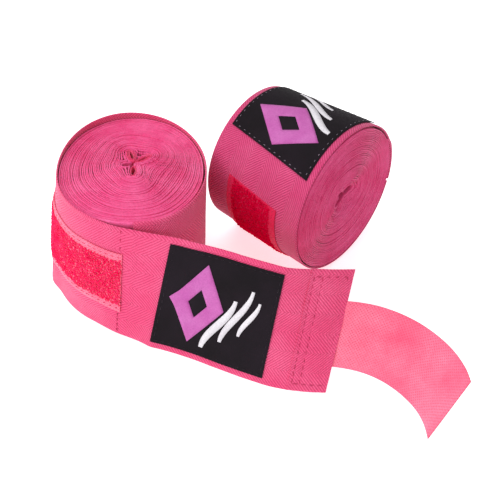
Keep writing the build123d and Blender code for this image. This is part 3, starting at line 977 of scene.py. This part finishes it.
@dataclass
class LyingWinding(Winding):
    """The closed wrap's winding: round, on its side, a little wider at its near face."""

    margin: float = 1.2 * MM
    hollow: float = 1.8 * MM

    def outline(self, angle: float) -> tuple[float, float]:
        """The round edge, at the near face."""
        radians = math.radians(angle)
        radius = LYING.near_radius - self.margin
        return radius * math.cos(radians), radius * math.sin(radians)

    def place(self, x: float, y: float, up: float) -> Vector:
        """A place in the winding; up is the depth behind the near face."""
        heart = 1 - ease(math.hypot(x, y), 3 * MM, 11 * MM)
        up += self.hollow * heart * (1 - ease(up, 1 * MM, 6 * MM))
        narrowing = 1 - (1 - LYING.far_radius / LYING.near_radius) * up / BAND_WIDTH
        return LYING.inside(x * narrowing, y * narrowing, up)


# ================================================================ printed marks and thread rows
def inlay(
    surface: Surface, first: Sequence[tuple[float, float]], second: Sequence[tuple[float, float]],
    out: float, scale: float, relief: Relief, rows: int,
) -> tuple[np.ndarray, np.ndarray]:
    """Cross-sections of a thin print between two lines on a label.

    Args:
        surface: the surface the label lies on.
        first: one edge, as places along and across the label in metres.
        second: the other edge, with as many places.
        out: how far off the surface the print's underside lies.
        scale: what turns metres along the label into the surface's own measure.
        relief: how far the label bulges at a place along and across it.
        rows: how many steps there are between the edges.

    Returns:
        The rows and the cloth coordinates that swept takes.
    """
    thickness = 0.12 * MM
    sections, places = [], []
    for (a, b), (c, d) in zip(first, second):
        line = [(a + (c - a) * i / rows, b + (d - b) * i / rows) for i in range(rows + 1)]
        top = [tuple(surface.point(u * scale, v, out + thickness + relief(u, v))) for u, v in line]
        under = [tuple(surface.point(u * scale, v, out + relief(u, v))) for u, v in line]
        sections.append(top + under[::-1])
        places.append(line + line[::-1])
    return np.array(sections), np.array(places)


def along_row(
    surface: Surface, start: float, end: float, pitch: float, up: float, out: float
) -> list[Matrix]:
    """Seats of a row of stitches that runs along a strip."""
    return [surface.seat(along, up, out) for along in spread(start, end, pitch)]


def cross_row(surface: Surface, along: float, low: float, high: float, out: float) -> list[Matrix]:
    """Seats of a row of stitches that runs across a strip."""
    return [surface.seat(along, up, out, math.pi / 2) for up in spread(low, high, STITCH_PITCH)]


def patch_rows(surface: Surface, start: float, end: float) -> list[Matrix]:
    """Seats of the two rows of stitches that run along a loop patch."""
    low, high = edges(TAPE_WIDTH)
    seats = []
    for up in (low + 1.6 * MM, high - 1.6 * MM):
        seats += along_row(surface, start, end, PATCH_STITCH_TURN, up, TAPE_THICKNESS + 0.12 * MM)
    return seats


def sew(
    name: str, stitch: Piece, seats: Iterable[Matrix], finish: Finish, body: str
) -> None:
    """Makes rows of thread as one piece.

    Args:
        name: the CAD node that the rows stand for.
        stitch: one stitch, which is removed.
        seats: where each stitch goes.
        finish: the thread's finish.
        body: what the rows ride on.
    """
    dress(copies(f"{name}_thread", stitch, seats), finish, "thread", body, name)


def label_rows(
    surface: Surface, reach: tuple[float, float], insets: tuple[float, float], pitch: float, out: float
) -> list[Matrix]:
    """Seats of the stitches round a label.

    Args:
        surface: what the label lies on.
        reach: where the label starts and ends along it.
        insets: how far the rows along it stop short of its ends, and how far in the rows
            across it lie.
        pitch: how far apart the stitches along it are.
        out: how far off the surface they lie.

    Returns:
        The seats, first those of the two rows along the label.
    """
    (low, high), (start, end), (short, inwards) = edges(LABEL_HEIGHT), reach, insets
    seats = []
    for up in (low + 1.2 * MM, high - 1.2 * MM):
        seats += along_row(surface, start + short, end - short, pitch, up, out)
    for along in (start + inwards, end - inwards):
        seats += cross_row(surface, along, low + 4 * MM, high - 4 * MM, out)
    return seats


def thumb_loop(prefix: str, surface: FoldedLoop, low: float) -> None:
    """Makes a narrow tape doubled into a flat loop, with a bar tack through it.

    Args:
        prefix: which wrap it is in.
        surface: the folded shape it follows.
        low: where its lower edge lies across the band.
    """
    body = f"{prefix}_roll"
    loop = strip(
        f"{prefix}_thumb_loop_cloth", surface, spread(0, LOOP_END, 7.0),
        across(low, low + LOOP_TAPE_WIDTH, 6 * MM), -0.15 * MM, 0.15 * MM,
    )
    dress(loop, TAPE_CLOTH, "loop_cotton", body, f"{prefix}_thumb_loop")
    surface.length(0, LOOP_END, low)
    seats = [
        surface.seat(85 + 5 * step, low + 9 * MM + 0.6 * MM * step, 0.1 * MM, 1.57) for step in range(3)
    ]
    sew(f"{prefix}_thumb_loop_tack", thread_stitch(1.4 * MM, 0.3 * MM), seats, PINK_THREAD, body)


@dataclass
class LoopPatch:
    """A loop tape sewn on a roll: a woven ground, its selvages, and a field of curled pile."""

    prefix: str
    surface: Surface
    angles: tuple[float, float]
    finish: Finish
    ground: Finish = TAPE_CLOTH
    tufts_per_metre: float = 1500.0
    seed: int = 11

    def build(self) -> None:
        """Makes the tape and its pile."""
        body = f"{self.prefix}_roll"
        start, end = self.angles
        low, high = edges(TAPE_WIDTH)
        tape = strip(
            f"{self.prefix}_loop_tape_cloth", self.surface, spread(start, end, 1.6),
            across(low, high, 2.4 * MM), 0.05 * MM, TAPE_THICKNESS + 0.1 * MM, self.relief,
        )
        dress(tape, self.ground, "tape_weave", body, f"{self.prefix}_loop_tape")
        length = self.surface.length(start, end, BAND_WIDTH / 2)
        chance = random.Random(self.seed)
        field_low, field_high = edges(FIELD_WIDTH)
        pitch = 1 / self.tufts_per_metre
        seats = []
        for row in spread(field_low + 0.3 * MM, field_high - 0.3 * MM, pitch):
            for step in spread(0.8 * MM, length - 0.6 * MM, pitch):
                along = start + (end - start) * (step + chance.uniform(-0.3, 0.3) * MM) / length
                up = row + chance.uniform(-0.3, 0.3) * MM
                out = TAPE_THICKNESS + self.relief(step, up) + chance.uniform(-0.12, 0.06) * MM
                seat = self.surface.seat(along, up, out, chance.uniform(0, math.tau))
                lean = Matrix.Rotation(chance.gauss(0, 0.5), 4, "X")
                grow = chance.uniform(0.75, 1.3)
                seats.append(seat @ lean @ Matrix.Diagonal((grow, grow, grow * 1.15, 1)))
        pile = copies(f"{self.prefix}_loop_pile_tufts", thread_arch(0.46 * MM, 0.32 * MM), seats)
        dress(pile, self.finish, "loop_pile", body, f"{self.prefix}_loop_pile")

    def relief(self, along: float, up: float) -> float:
        """The tape lies a little uneven on the band."""
        return 0.12 * MM * ripple(along * 90, up * 90, self.seed)


@dataclass
class HookTape:
    """One reach of a hook tape: woven face out, hooks on its back."""

    name: str
    surface: Surface
    reach: tuple[float, float]
    hook_reach: tuple[float, float]
    low: float
    out: float
    bodies: tuple[str, str]
    bend: tuple[Vector, Vector]
    step: float

    def build(self) -> None:
        """Makes the tape and its hooks."""
        start, end = self.reach
        ups = across(self.low, self.low + TAPE_WIDTH, 1.8 * MM)
        tape = strip(
            f"{self.name}_tape", self.surface, spread(start, end, self.step), ups,
            self.out - TAPE_THICKNESS / 2, self.out + TAPE_THICKNESS / 2,
        )
        dress(tape, TAPE_CLOTH, "tape_weave", "", self.name)
        length = self.surface.length(start, end, self.low + TAPE_WIDTH / 2)
        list(self.bodies)
        tuple(self.bend[0])
        tuple(self.bend[1])
        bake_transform(tape)
        margin = self.low + (TAPE_WIDTH - FIELD_WIDTH) / 2
        depth = self.out - TAPE_THICKNESS / 2
        first, last = self.hook_reach
        least, most = sorted(self.hook_reach)
        length = self.surface.length(first, last, self.low + TAPE_WIDTH / 2)
        seats = []
        for number, up in enumerate(spread(margin + 0.5 * MM, margin + FIELD_WIDTH - 0.5 * MM, 1.25 * MM)):
            for step in spread(0.5 * MM, length - 0.5 * MM, 1.1 * MM):
                along = first + (last - first) * (step + (number % 2) * 0.5 * MM) / length
                seat = self.surface.seat(min(max(along, least), most), up, depth)
                seats.append(seat @ Matrix.Rotation(math.pi, 4, "X"))
        hooks = copies(f"{self.name}_hooks_nylon", thread_arch(0.26 * MM, 0.16 * MM, 0.5), seats)
        dress(hooks, HOOK_NYLON, "hook_nylon", "", f"{self.name}_hooks")
        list(self.bodies)
        tuple(self.bend[0])
        tuple(self.bend[1])
        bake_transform(hooks)


@dataclass
class LabelPrint:
    """The label's mark: a hollow diamond and three leaning strokes beside it."""

    prefix: str
    body: str
    surface: Surface
    start: float
    flip: bool
    out: float
    scale: float
    relief: Relief = lambda along, up: 0.0
    centre: tuple[float, float] = (14.5, 25.0)
    half_size: tuple[float, float] = (11.5, 17.5)
    hole: float = 0.36
    stroke_start: float = 20.5
    stroke_pitch: float = 7.0

    def spot(self, u: float, v: float) -> tuple[float, float]:
        """A place on the label, from millimetres along and across it as it is read."""
        along = -u if self.flip else u
        return self.start + along * MM, v * MM

    def build(self) -> None:
        """Makes the diamond and the strokes."""
        self.diamond()
        strokes = ((7.0, 31.0, 9.5, 3.8), (12.0, 37.0, 9.0, 3.2), (17.0, 33.0, 6.0, 2.6))
        for number, (foot, head, lean, width) in enumerate(strokes):
            self.stroke(number, foot, head, lean, width)

    def diamond(self) -> None:
        """Makes the hollow diamond, by far the largest part of the mark."""
        centre, (wide, tall), steps = self.centre, self.half_size, 10
        rim = []
        for corner in range(4):
            a, b = (math.radians(90 * corner), math.radians(90 * (corner + 1)))
            for i in range(steps):
                share = i / steps
                x = math.cos(a) * (1 - share) + math.cos(b) * share
                y = math.sin(a) * (1 - share) + math.sin(b) * share
                rim.append((x, y))
        rim.append(rim[0])
        outer, inner = (
            [self.spot(centre[0] + x * wide * size, centre[1] + y * tall * size) for x, y in rim]
            for size in (1.0, self.hole)
        )
        diamond = swept(
            f"{self.prefix}_label_diamond_print",
            *inlay(self.surface, outer, inner, self.out, self.scale, self.relief, 5),
        )
        dress(diamond, ORCHID_PRINT, "label_print", self.body, f"{self.prefix}_label_motif")

    def stroke(self, number: int, foot: float, head: float, lean: float, width: float) -> None:
        """Makes one leaning stroke, in millimetres as the label is read.

        Args:
            number: its place in the row, from 0.
            foot: height of its lower end.
            head: height of its upper end.
            lean: how far its upper end stands beyond its lower end.
            width: how wide it is at its middle.
        """
        base = self.stroke_start + number * self.stroke_pitch
        line = [(base + lean * ease(i / 14), foot + (head - foot) * i / 14) for i in range(15)]
        taper = [
            width * (0.25 + 0.75 * math.sin(math.pi * min(0.92, 0.08 + i / 16))) for i in range(15)
        ]
        left = [self.spot(x - w / 2, y) for (x, y), w in zip(line, taper)]
        right = [self.spot(x + w / 2, y) for (x, y), w in zip(line, taper)]
        stroke = swept(
            f"{self.prefix}_label_stroke_{number + 1}_print",
            *inlay(self.surface, left, right, self.out, self.scale, self.relief, 2),
        )
        dress(stroke, WHITE_PRINT, "label_print", self.body)


# ================================================================ the open wrap
@dataclass
class OpenWrap:
    """The standing wrap with its finished end drawn out."""

    turn_start: float = -56.0
    tuck: float = 26.0
    turn_end: float = 276.0
    label_reach: tuple[float, float] = (8.5 * MM, 56.5 * MM)
    hem_reach: tuple[float, float] = (66.6 * MM, 82.0 * MM)
    middle: float = 34.0 * MM

    def build(self) -> None:
        """Makes the wrap's pieces in order."""
        self.winding()
        self.turn_and_panel()
        self.end_panel()
        self.label()
        self.patch()
        self.thread()
        self.tab()

    def winding(self) -> None:
        """The band's inner turns, and the thumb loop folded into their core."""
        wound = StandingWinding(
            "open_winding_cloth",
            folds=(
                CoreFold(8.4 * MM, 107, 2.3 * MM), CoreFold(9.6 * MM, 43, 1.9 * MM),
                CoreFold(7.4 * MM, -86, 1.5 * MM), CoreFold(4.4 * MM, 197, 0.8 * MM),
            ),
            core_centre=(0.0, 3.0 * MM), turns=36, core_turns=4.0, core_gap=0.34 * MM,
            end_angle=self.turn_start, seed=1.0, unevenness=0.5 * MM,
        )
        height = 49.0 * MM
        piece = wound.build((0.0, 0.3 * MM, 24 * MM, height - 1.2 * MM, height - 0.3 * MM, height))
        dress(piece, WOUND_CLOTH, "band_cotton", "open_roll", "open_winding")
        heart = (wound.centre[0] + wound.core_centre[0], wound.centre[1] + wound.core_centre[1])
        foot = standing_place((heart[0], heart[1] - 3.4 * MM))
        loop = FoldedLoop(foot, 5.0 * MM, 0.42 * MM, -86.0)
        thumb_loop("open", loop, (48.6 * MM - LOOP_TAPE_WIDTH) / 2)
        self.core_folds(heart)

    def core_folds(self, heart: tuple[float, float]) -> None:
        """The band's first folds, crumpled into the lobes of the core."""
        for number, (angle, away, half_length, half_gap, turns, top) in enumerate((
            (107, 4.7, 3.9, 2.0, 2.6, 50.1),
            (43, 5.4, 4.4, 1.7, 2.2, 49.7),
            (-86, 4.3, 3.3, 1.45, 1.2, 49.4),
        )):
            radians = math.radians(angle)
            centre = (heart[0] + away * MM * math.cos(radians), heart[1] + away * MM * math.sin(radians))
            surface = FoldedLoop(
                standing_place(centre), half_length * MM, half_gap * MM, angle, 0.58 * MM
            )
            end = 360 * turns
            piece = strip(
                f"open_core_fold_{number + 1}_cloth", surface, spread(0, end, 9),
                (0.0, 0.3 * MM, 24 * MM, (top - 1.2) * MM, (top - 0.3) * MM, top * MM),
                -0.24 * MM, 0.24 * MM,
            )
            dress(piece, CORE_CLOTH, "band_cotton", "open_roll")
            surface.length(0, end, 20 * MM)

    def turn_and_panel(self) -> None:
        """The loose outer turn and the band that leaves it, up to the middle of the label."""
        ups = across(0, BAND_WIDTH, 2.2 * MM)
        alongs = spread(self.turn_start - self.tuck, self.turn_end - 4, 2.0)
        turn, turn_places = strip_rows(LOOSE, alongs, ups, -BAND_THICKNESS, 0)
        begun = turn_places[-1, 0, 0] + 2.2 * MM
        panel, panel_places = strip_rows(
            FLAP, spread(1.6 * MM, self.middle, 1.3 * MM), ups, -BAND_THICKNESS / 2, BAND_THICKNESS / 2,
            self.panel_relief, begun,
        )
        rows = np.concatenate([turn, panel])
        seam = len(turn)
        for _ in range(8):
            near = slice(seam - 7, seam + 5)
            before, after = slice(seam - 8, seam + 4), slice(seam - 6, seam + 6)
            rows[near] = rows[near] * 0.5 + (rows[before] + rows[after]) * 0.25
        piece = swept("open_outer_turn_cloth", rows, np.concatenate([turn_places, panel_places]))
        dress(piece, BAND_CLOTH, "band_cotton", "", "open_outer_turn", "open_label_panel")
        hinge = joint_place("open_flap_swing")
        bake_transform(piece)

    def panel_relief(self, along: float, up: float) -> float:
        """Slow bulges of the drawn-out band."""
        return 0.2 * MM * ripple(along * 30, up * 30, 2.0) + 0.1 * MM * ripple(along * 120, up * 60, 4.0)

    def end_relief(self, along: float, up: float) -> float:
        """Bulges of the band beyond the label, drawn into puckers where the hem is sewn."""
        drawn = ease(along, 20 * MM, 31 * MM)
        return self.panel_relief(along, up) + 0.4 * MM * drawn * ripple(along * 60, up * 150, 6.0)

    def hem_relief(self, along: float, up: float) -> float:
        """Puckers and sunken rows drawn in by the hem's sewing."""
        length = self.hem_reach[1] - self.hem_reach[0]
        rows = [abs(along - row) for row in (1.5 * MM, 4.5 * MM, length - 2 * MM)]
        rows += [abs(up - row) for row in (3 * MM, BAND_WIDTH - 3 * MM)]
        sunk = max(math.exp(-((row / (0.7 * MM)) ** 2)) for row in rows)
        return 0.2 * MM * ripple(along * 110, up * 160, 7.0) - 0.24 * MM * sunk

    def end_panel(self) -> None:
        """The band from the middle of the label to the hem, and the folded hem."""
        ups = across(0, BAND_WIDTH, 2.0 * MM)
        panel = strip(
            "open_end_panel_cloth", FLAP, spread(self.middle, self.hem_reach[0] + 0.9 * MM, 1.2 * MM), ups,
            -BAND_THICKNESS / 2, BAND_THICKNESS / 2, self.end_relief,
        )
        dress(panel, BAND_CLOTH, "band_cotton", "")
        hinge = joint_place("open_hem_fold")
        start, step = self.hem_reach[0], 0.5 * MM
        forward = FLAP.way(start - step, start + step, BAND_WIDTH / 2)
        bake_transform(panel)
        hem = strip(
            "open_hem_cloth", FLAP, spread(self.hem_reach[0], self.hem_reach[1], 0.8 * MM), ups,
            -HEM_THICKNESS / 2, HEM_THICKNESS / 2, self.hem_relief,
        )
        dress(hem, BAND_CLOTH, "band_cotton", "open_hem_end", "open_hem")

    def label(self) -> None:
        """The sewn label and its print."""
        low, high = edges(LABEL_HEIGHT)
        under = BAND_THICKNESS / 2 + 0.06 * MM
        label = strip(
            "open_label_cloth", FLAP, spread(*self.label_reach, 1.2 * MM), across(low, high, 2.2 * MM),
            under, under + LABEL_THICKNESS, self.label_relief,
        )
        dress(label, LABEL_CLOTH, "label_cloth", "open_flap", "open_label")
        face = under + LABEL_THICKNESS + 0.05 * MM
        LabelPrint(
            "open", "open_flap", FLAP, self.label_reach[0], False, face, 1.0,
            lambda u, v: self.label_relief(u - self.label_reach[0], v),
        ).build()

    def label_relief(self, along: float, up: float) -> float:
        """The label follows the band, a little proud of its bulges."""
        return 0.12 * MM + 0.1 * MM * ripple(along * 60, up * 40, 2.0)

    def patch(self) -> None:
        """The loop patch on the outer turn."""
        LoopPatch("open", LOOSE, (168.0, 270.0), PILE_FIBRE).build()

    def thread(self) -> None:
        """Rows of thread on the patch, the label and the hem."""
        low, high = edges(TAPE_WIDTH)
        seats = patch_rows(LOOSE, 170, 268)
        seats += cross_row(LOOSE, 268, 2 * MM, low - 2 * MM, 0.1 * MM)
        seats += cross_row(LOOSE, 268, high + 2 * MM, BAND_WIDTH - 2 * MM, 0.1 * MM)
        sew("open_loop_stitches", thread_stitch(), seats, PINK_THREAD, "open_roll")
        seats = label_rows(
            FLAP, self.label_reach, (2 * MM, 1.2 * MM), STITCH_PITCH,
            BAND_THICKNESS / 2 + LABEL_THICKNESS + 0.2 * MM,
        )
        stitch = thread_stitch(1.5 * MM, 0.28 * MM)
        sew("open_label_stitches", stitch, seats, DARK_LABEL_THREAD, "open_flap")
        start, end = self.hem_reach
        face = HEM_THICKNESS / 2 - 0.12 * MM
        seats = []
        for along in (start + 1.5 * MM, start + 4.5 * MM, end - 2 * MM):
            seats += cross_row(FLAP, along, 4 * MM, BAND_WIDTH - 4 * MM, face)
        for up in (3 * MM, BAND_WIDTH - 3 * MM):
            seats += along_row(FLAP, start + 3 * MM, end - 3 * MM, STITCH_PITCH, up, face)
        sew("open_hem_stitches", thread_stitch(), seats, PINK_THREAD, "open_hem_end")

    def tab(self) -> None:
        """The hook tape that curls out of the hem."""
        lift, curl = joint_place("open_tab_lift"), joint_place("open_tab_curl")
        middle = 13 * MM
        out_of_hem = TAB.way(0, 4 * MM, middle)
        along_tip = TAB.way(21 * MM, 29 * MM, middle)
        HookTape(
            "open_tab_root", TAB, (-3.0 * MM, 15 * MM), (3.1 * MM, 15 * MM), 0.0, 0.0,
            ("open_hem_end", "open_tab"), (lift - out_of_hem * 0.5 * MM, lift + out_of_hem * 5 * MM),
            0.8 * MM,
        ).build()
        HookTape(
            "open_tab_tip", TAB, (15 * MM, 52 * MM), (15 * MM, 50 * MM), 0.0, 0.0,
            ("open_tab", "open_tab_end"), (curl - along_tip * 7 * MM, curl + along_tip * 7 * MM),
            0.8 * MM,
        ).build()


# ================================================================ the closed wrap
@dataclass
class ClosedWrap:
    """The lying wrap, held shut by its hook tape."""

    turn: tuple[float, float] = (-63.0, 253.0)
    label_angles: tuple[float, float] = (-52.0, 34.0)
    patch_angles: tuple[float, float] = (67.0, 174.0)
    hem_angles: tuple[float, float] = (-105.0, -63.6)
    slit_angle: float = -64.0

    def build(self) -> None:
        """Makes the wrap's pieces in order."""
        self.winding()
        self.outer_turn()
        self.label()
        LoopPatch(
            "closed", SLEWED, self.patch_angles, SHADED_PILE_FIBRE, SHADED_TAPE_CLOTH, seed=23
        ).build()
        self.thread()
        self.tab()

    def winding(self) -> None:
        """The band's inner turns, and the thumb loop folded into their core."""
        wound = LyingWinding(
            "closed_winding_cloth",
            folds=(
                CoreFold(5.6 * MM, self.slit_angle, 1.0 * MM), CoreFold(5.2 * MM, self.slit_angle + 180),
                CoreFold(2.6 * MM, self.slit_angle + 96, 0.6 * MM),
            ),
            core_centre=(0.0, 0.0), turns=38, core_turns=6.0, core_gap=1.0 * MM, crumple=1.0 * MM,
            end_angle=self.turn[0] + 360.0, seed=21.0, unevenness=0.34 * MM,
        )
        piece = wound.build((0.0, 0.3 * MM, 1.2 * MM, 48.8 * MM, 49.7 * MM, BAND_WIDTH))
        dress(piece, SHADED_WOUND_CLOTH, "band_cotton", "closed_roll", "closed_winding")
        loop = FoldedLoop(LYING.inside, 4.6 * MM, 0.5 * MM, self.slit_angle)
        thumb_loop("closed", loop, edges(LOOP_TAPE_WIDTH)[0])

    def relief(self, along: float, up: float) -> float:
        """Slow bulges of the outer turn."""
        return 0.15 * MM * ripple(along * 25, up * 20, 12.0)

    def outer_turn(self) -> None:
        """The outer turn and the folded hem at its end."""
        ups = across(0, BAND_WIDTH, 2.2 * MM)
        turn = strip(
            "closed_outer_turn_cloth", LYING, spread(*self.turn, 2.2), ups, -BAND_THICKNESS, 0, self.relief
        )
        dress(turn, SHADED_BAND_CLOTH, "band_cotton", "closed_roll", "closed_outer_turn")
        length = LYING.length(*self.turn, BAND_WIDTH / 2)
        hem = strip(
            "closed_hem_cloth", LYING, spread(self.hem_angles[0], self.turn[0] + 0.6, 1.5), ups,
            -BAND_THICKNESS, HEM_THICKNESS - BAND_THICKNESS, self.hem_relief,
        )
        dress(hem, SHADED_BAND_CLOTH, "band_cotton", "closed_roll", "closed_hem")
        LYING.length(*self.hem_angles, BAND_WIDTH / 2)

    def hem_relief(self, along: float, up: float) -> float:
        """Puckers drawn in by the hem's sewing; its last few millimetres are pressed flat."""
        length = LYING.length(*self.hem_angles, BAND_WIDTH / 2)
        pressed = 0.62 * MM * ease(along, length - 5 * MM, length)
        return 0.1 * MM * ripple(along * 110, up * 160, 17.0) - pressed

    def label(self) -> None:
        """The sewn label and its print."""
        low, high = edges(LABEL_HEIGHT)
        label = strip(
            "closed_label_cloth", SLEWED, spread(*self.label_angles, 1.8), across(low, high, 2.4 * MM),
            0.16 * MM, 0.16 * MM + LABEL_THICKNESS,
        )
        dress(label, LABEL_CLOTH, "label_cloth", "closed_roll", "closed_label")
        length = SLEWED.length(*self.label_angles, BAND_WIDTH / 2)
        per_metre = (self.label_angles[1] - self.label_angles[0]) / length
        LabelPrint(
            "closed", "closed_roll", SLEWED, self.label_angles[1] / per_metre, True,
            LABEL_THICKNESS + 0.2 * MM, per_metre,
        ).build()

    def thread(self) -> None:
        """Rows of thread on the patch, the label and the hem."""
        seats = patch_rows(SLEWED, 69, 134)
        sew("closed_loop_stitches", thread_stitch(), seats, PINK_THREAD, "closed_roll")
        seats = label_rows(SLEWED, self.label_angles, (4, 2), 5.2, LABEL_THICKNESS + 0.2 * MM)
        stitch = thread_stitch(0.9 * MM, 0.32 * MM)
        sew("closed_label_stitches", stitch, seats, LABEL_THREAD, "closed_roll")
        start, end = self.hem_angles
        face = HEM_THICKNESS - BAND_THICKNESS + 0.05 * MM
        seats = []
        for along in (start + 4, end - 3, end - 8):
            seats += cross_row(LYING, along, 4 * MM, BAND_WIDTH - 4 * MM, face)
        sew("closed_hem_stitches", thread_stitch(), seats, PINK_THREAD, "closed_roll")

    def tab(self) -> None:
        """The hook tape under the roll, lapped up onto the loop patch."""
        low, out = edges(TAPE_WIDTH)[0], HOOK_THICKNESS + 0.3 * MM + TAPE_THICKNESS / 2
        peel, tip = joint_place("closed_tab_peel"), joint_place("closed_tip_peel")
        root_way = LYING.way(-106, -112, BAND_WIDTH / 2)
        tip_way = LYING.way(-160, -168, BAND_WIDTH / 2)
        HookTape(
            "closed_tab_root", LYING, (-104.6, -150.0), (-109.4, -150.0), low, out,
            ("closed_roll", "closed_tab"), (peel - root_way * 0.4 * MM, peel + root_way * 3 * MM),
            1.6,
        ).build()
        HookTape(
            "closed_tab_tip", LYING, (-150.0, -212.0), (-151.0, -209.0), low, out,
            ("closed_tab", "closed_tab_end"), (tip - tip_way * 5 * MM, tip + tip_way * 5 * MM),
            1.6,
        ).build()


# ================================================================ the setting
@dataclass(frozen=True)
class Studio:
    """A pale floor, soft light and the camera."""

    look_at: tuple[float, float, float] = (-3.47 * MM, 6.44 * MM, 20 * MM)
    elevation: float = 44.0
    roll: float = 4.0
    distance: float = 0.48
    lens: float = 85.0
    floor_side: float = 12.0
    floor_drop: float = 0.2 * MM

    def build(self) -> None:
        """Makes the floor, the lights and the camera."""
        self.floor()
        self.lights()
        self.camera()

    def floor(self) -> None:
        """A plain pale floor."""
        mesh = bpy.data.meshes.new("floor")
        half, down = self.floor_side / 2, -self.floor_drop
        corners = [(-half, -half, down), (half, -half, down), (half, half, down), (-half, half, down)]
        mesh.from_pydata(corners, [], [(0, 1, 2, 3)])
        floor = new_object("floor", mesh)
        paint = bpy.data.materials.new("pale_floor")
        paint.use_nodes = True
        shader = paint.node_tree.nodes["Principled BSDF"]
        shader.inputs["Base Color"].default_value = (0.93, 0.93, 0.93, 1)
        shader.inputs["Roughness"].default_value = 0.9
        shader.inputs["Emission Color"].default_value = (1, 1, 1, 1)
        shader.inputs["Emission Strength"].default_value = 0.6
        mesh.materials.append(paint)

    def lights(self) -> None:
        """A soft key light from the left, a second one from above, and an even surround."""
        world = bpy.data.worlds.new("surround")
        world.use_nodes = True
        sky = world.node_tree.nodes["Background"]
        sky.inputs["Color"].default_value = (1, 1, 1, 1)
        sky.inputs["Strength"].default_value = 0.62
        bpy.context.scene.world = world
        bpy.context.scene.view_settings.view_transform = "Standard"
        for name, place, power, size in (
            ("key_light", (-0.5, -0.54, 0.45), 3.1, 0.5),
            ("top_light", (-0.35, 0.25, 0.9), 4.0, 0.6),
        ):
            lamp = bpy.data.lights.new(name, "AREA")
            lamp.energy = power
            lamp.size = size
            holder = bpy.data.objects.new(name, lamp)
            holder.location = place
            aim = Vector(self.look_at) - Vector(place)
            holder.rotation_euler = aim.to_track_quat("-Z", "Y").to_euler()
            bpy.context.scene.collection.objects.link(holder)

    def camera(self) -> None:
        """The camera, looking down at the pair, a little rolled."""
        tilt, roll = math.radians(self.elevation), math.radians(self.roll)
        forward = Vector((0, math.cos(tilt), -math.sin(tilt)))
        up = Vector((0, math.sin(tilt), math.cos(tilt)))
        right = Vector((1, 0, 0))
        turned_right = right * math.cos(roll) + up * math.sin(roll)
        turned_up = up * math.cos(roll) - right * math.sin(roll)
        lens = bpy.data.cameras.new("camera")
        lens.lens = self.lens
        lens.sensor_width = 36.0
        holder = bpy.data.objects.new("camera", lens)
        place = Matrix((turned_right, turned_up, -forward)).transposed().to_4x4()
        place.translation = Vector(self.look_at) - forward * self.distance
        holder.matrix_world = place
        bpy.context.scene.collection.objects.link(holder)
        bpy.context.scene.camera = holder


def main() -> None:
    """Builds the pair and its setting."""
    logging.basicConfig(level=logging.INFO, format="%(message)s")
    Studio().build()
    OpenWrap().build()
    ClosedWrap().build()
    bpy.context.view_layer.update()


if __name__ == "__main__":
    main()
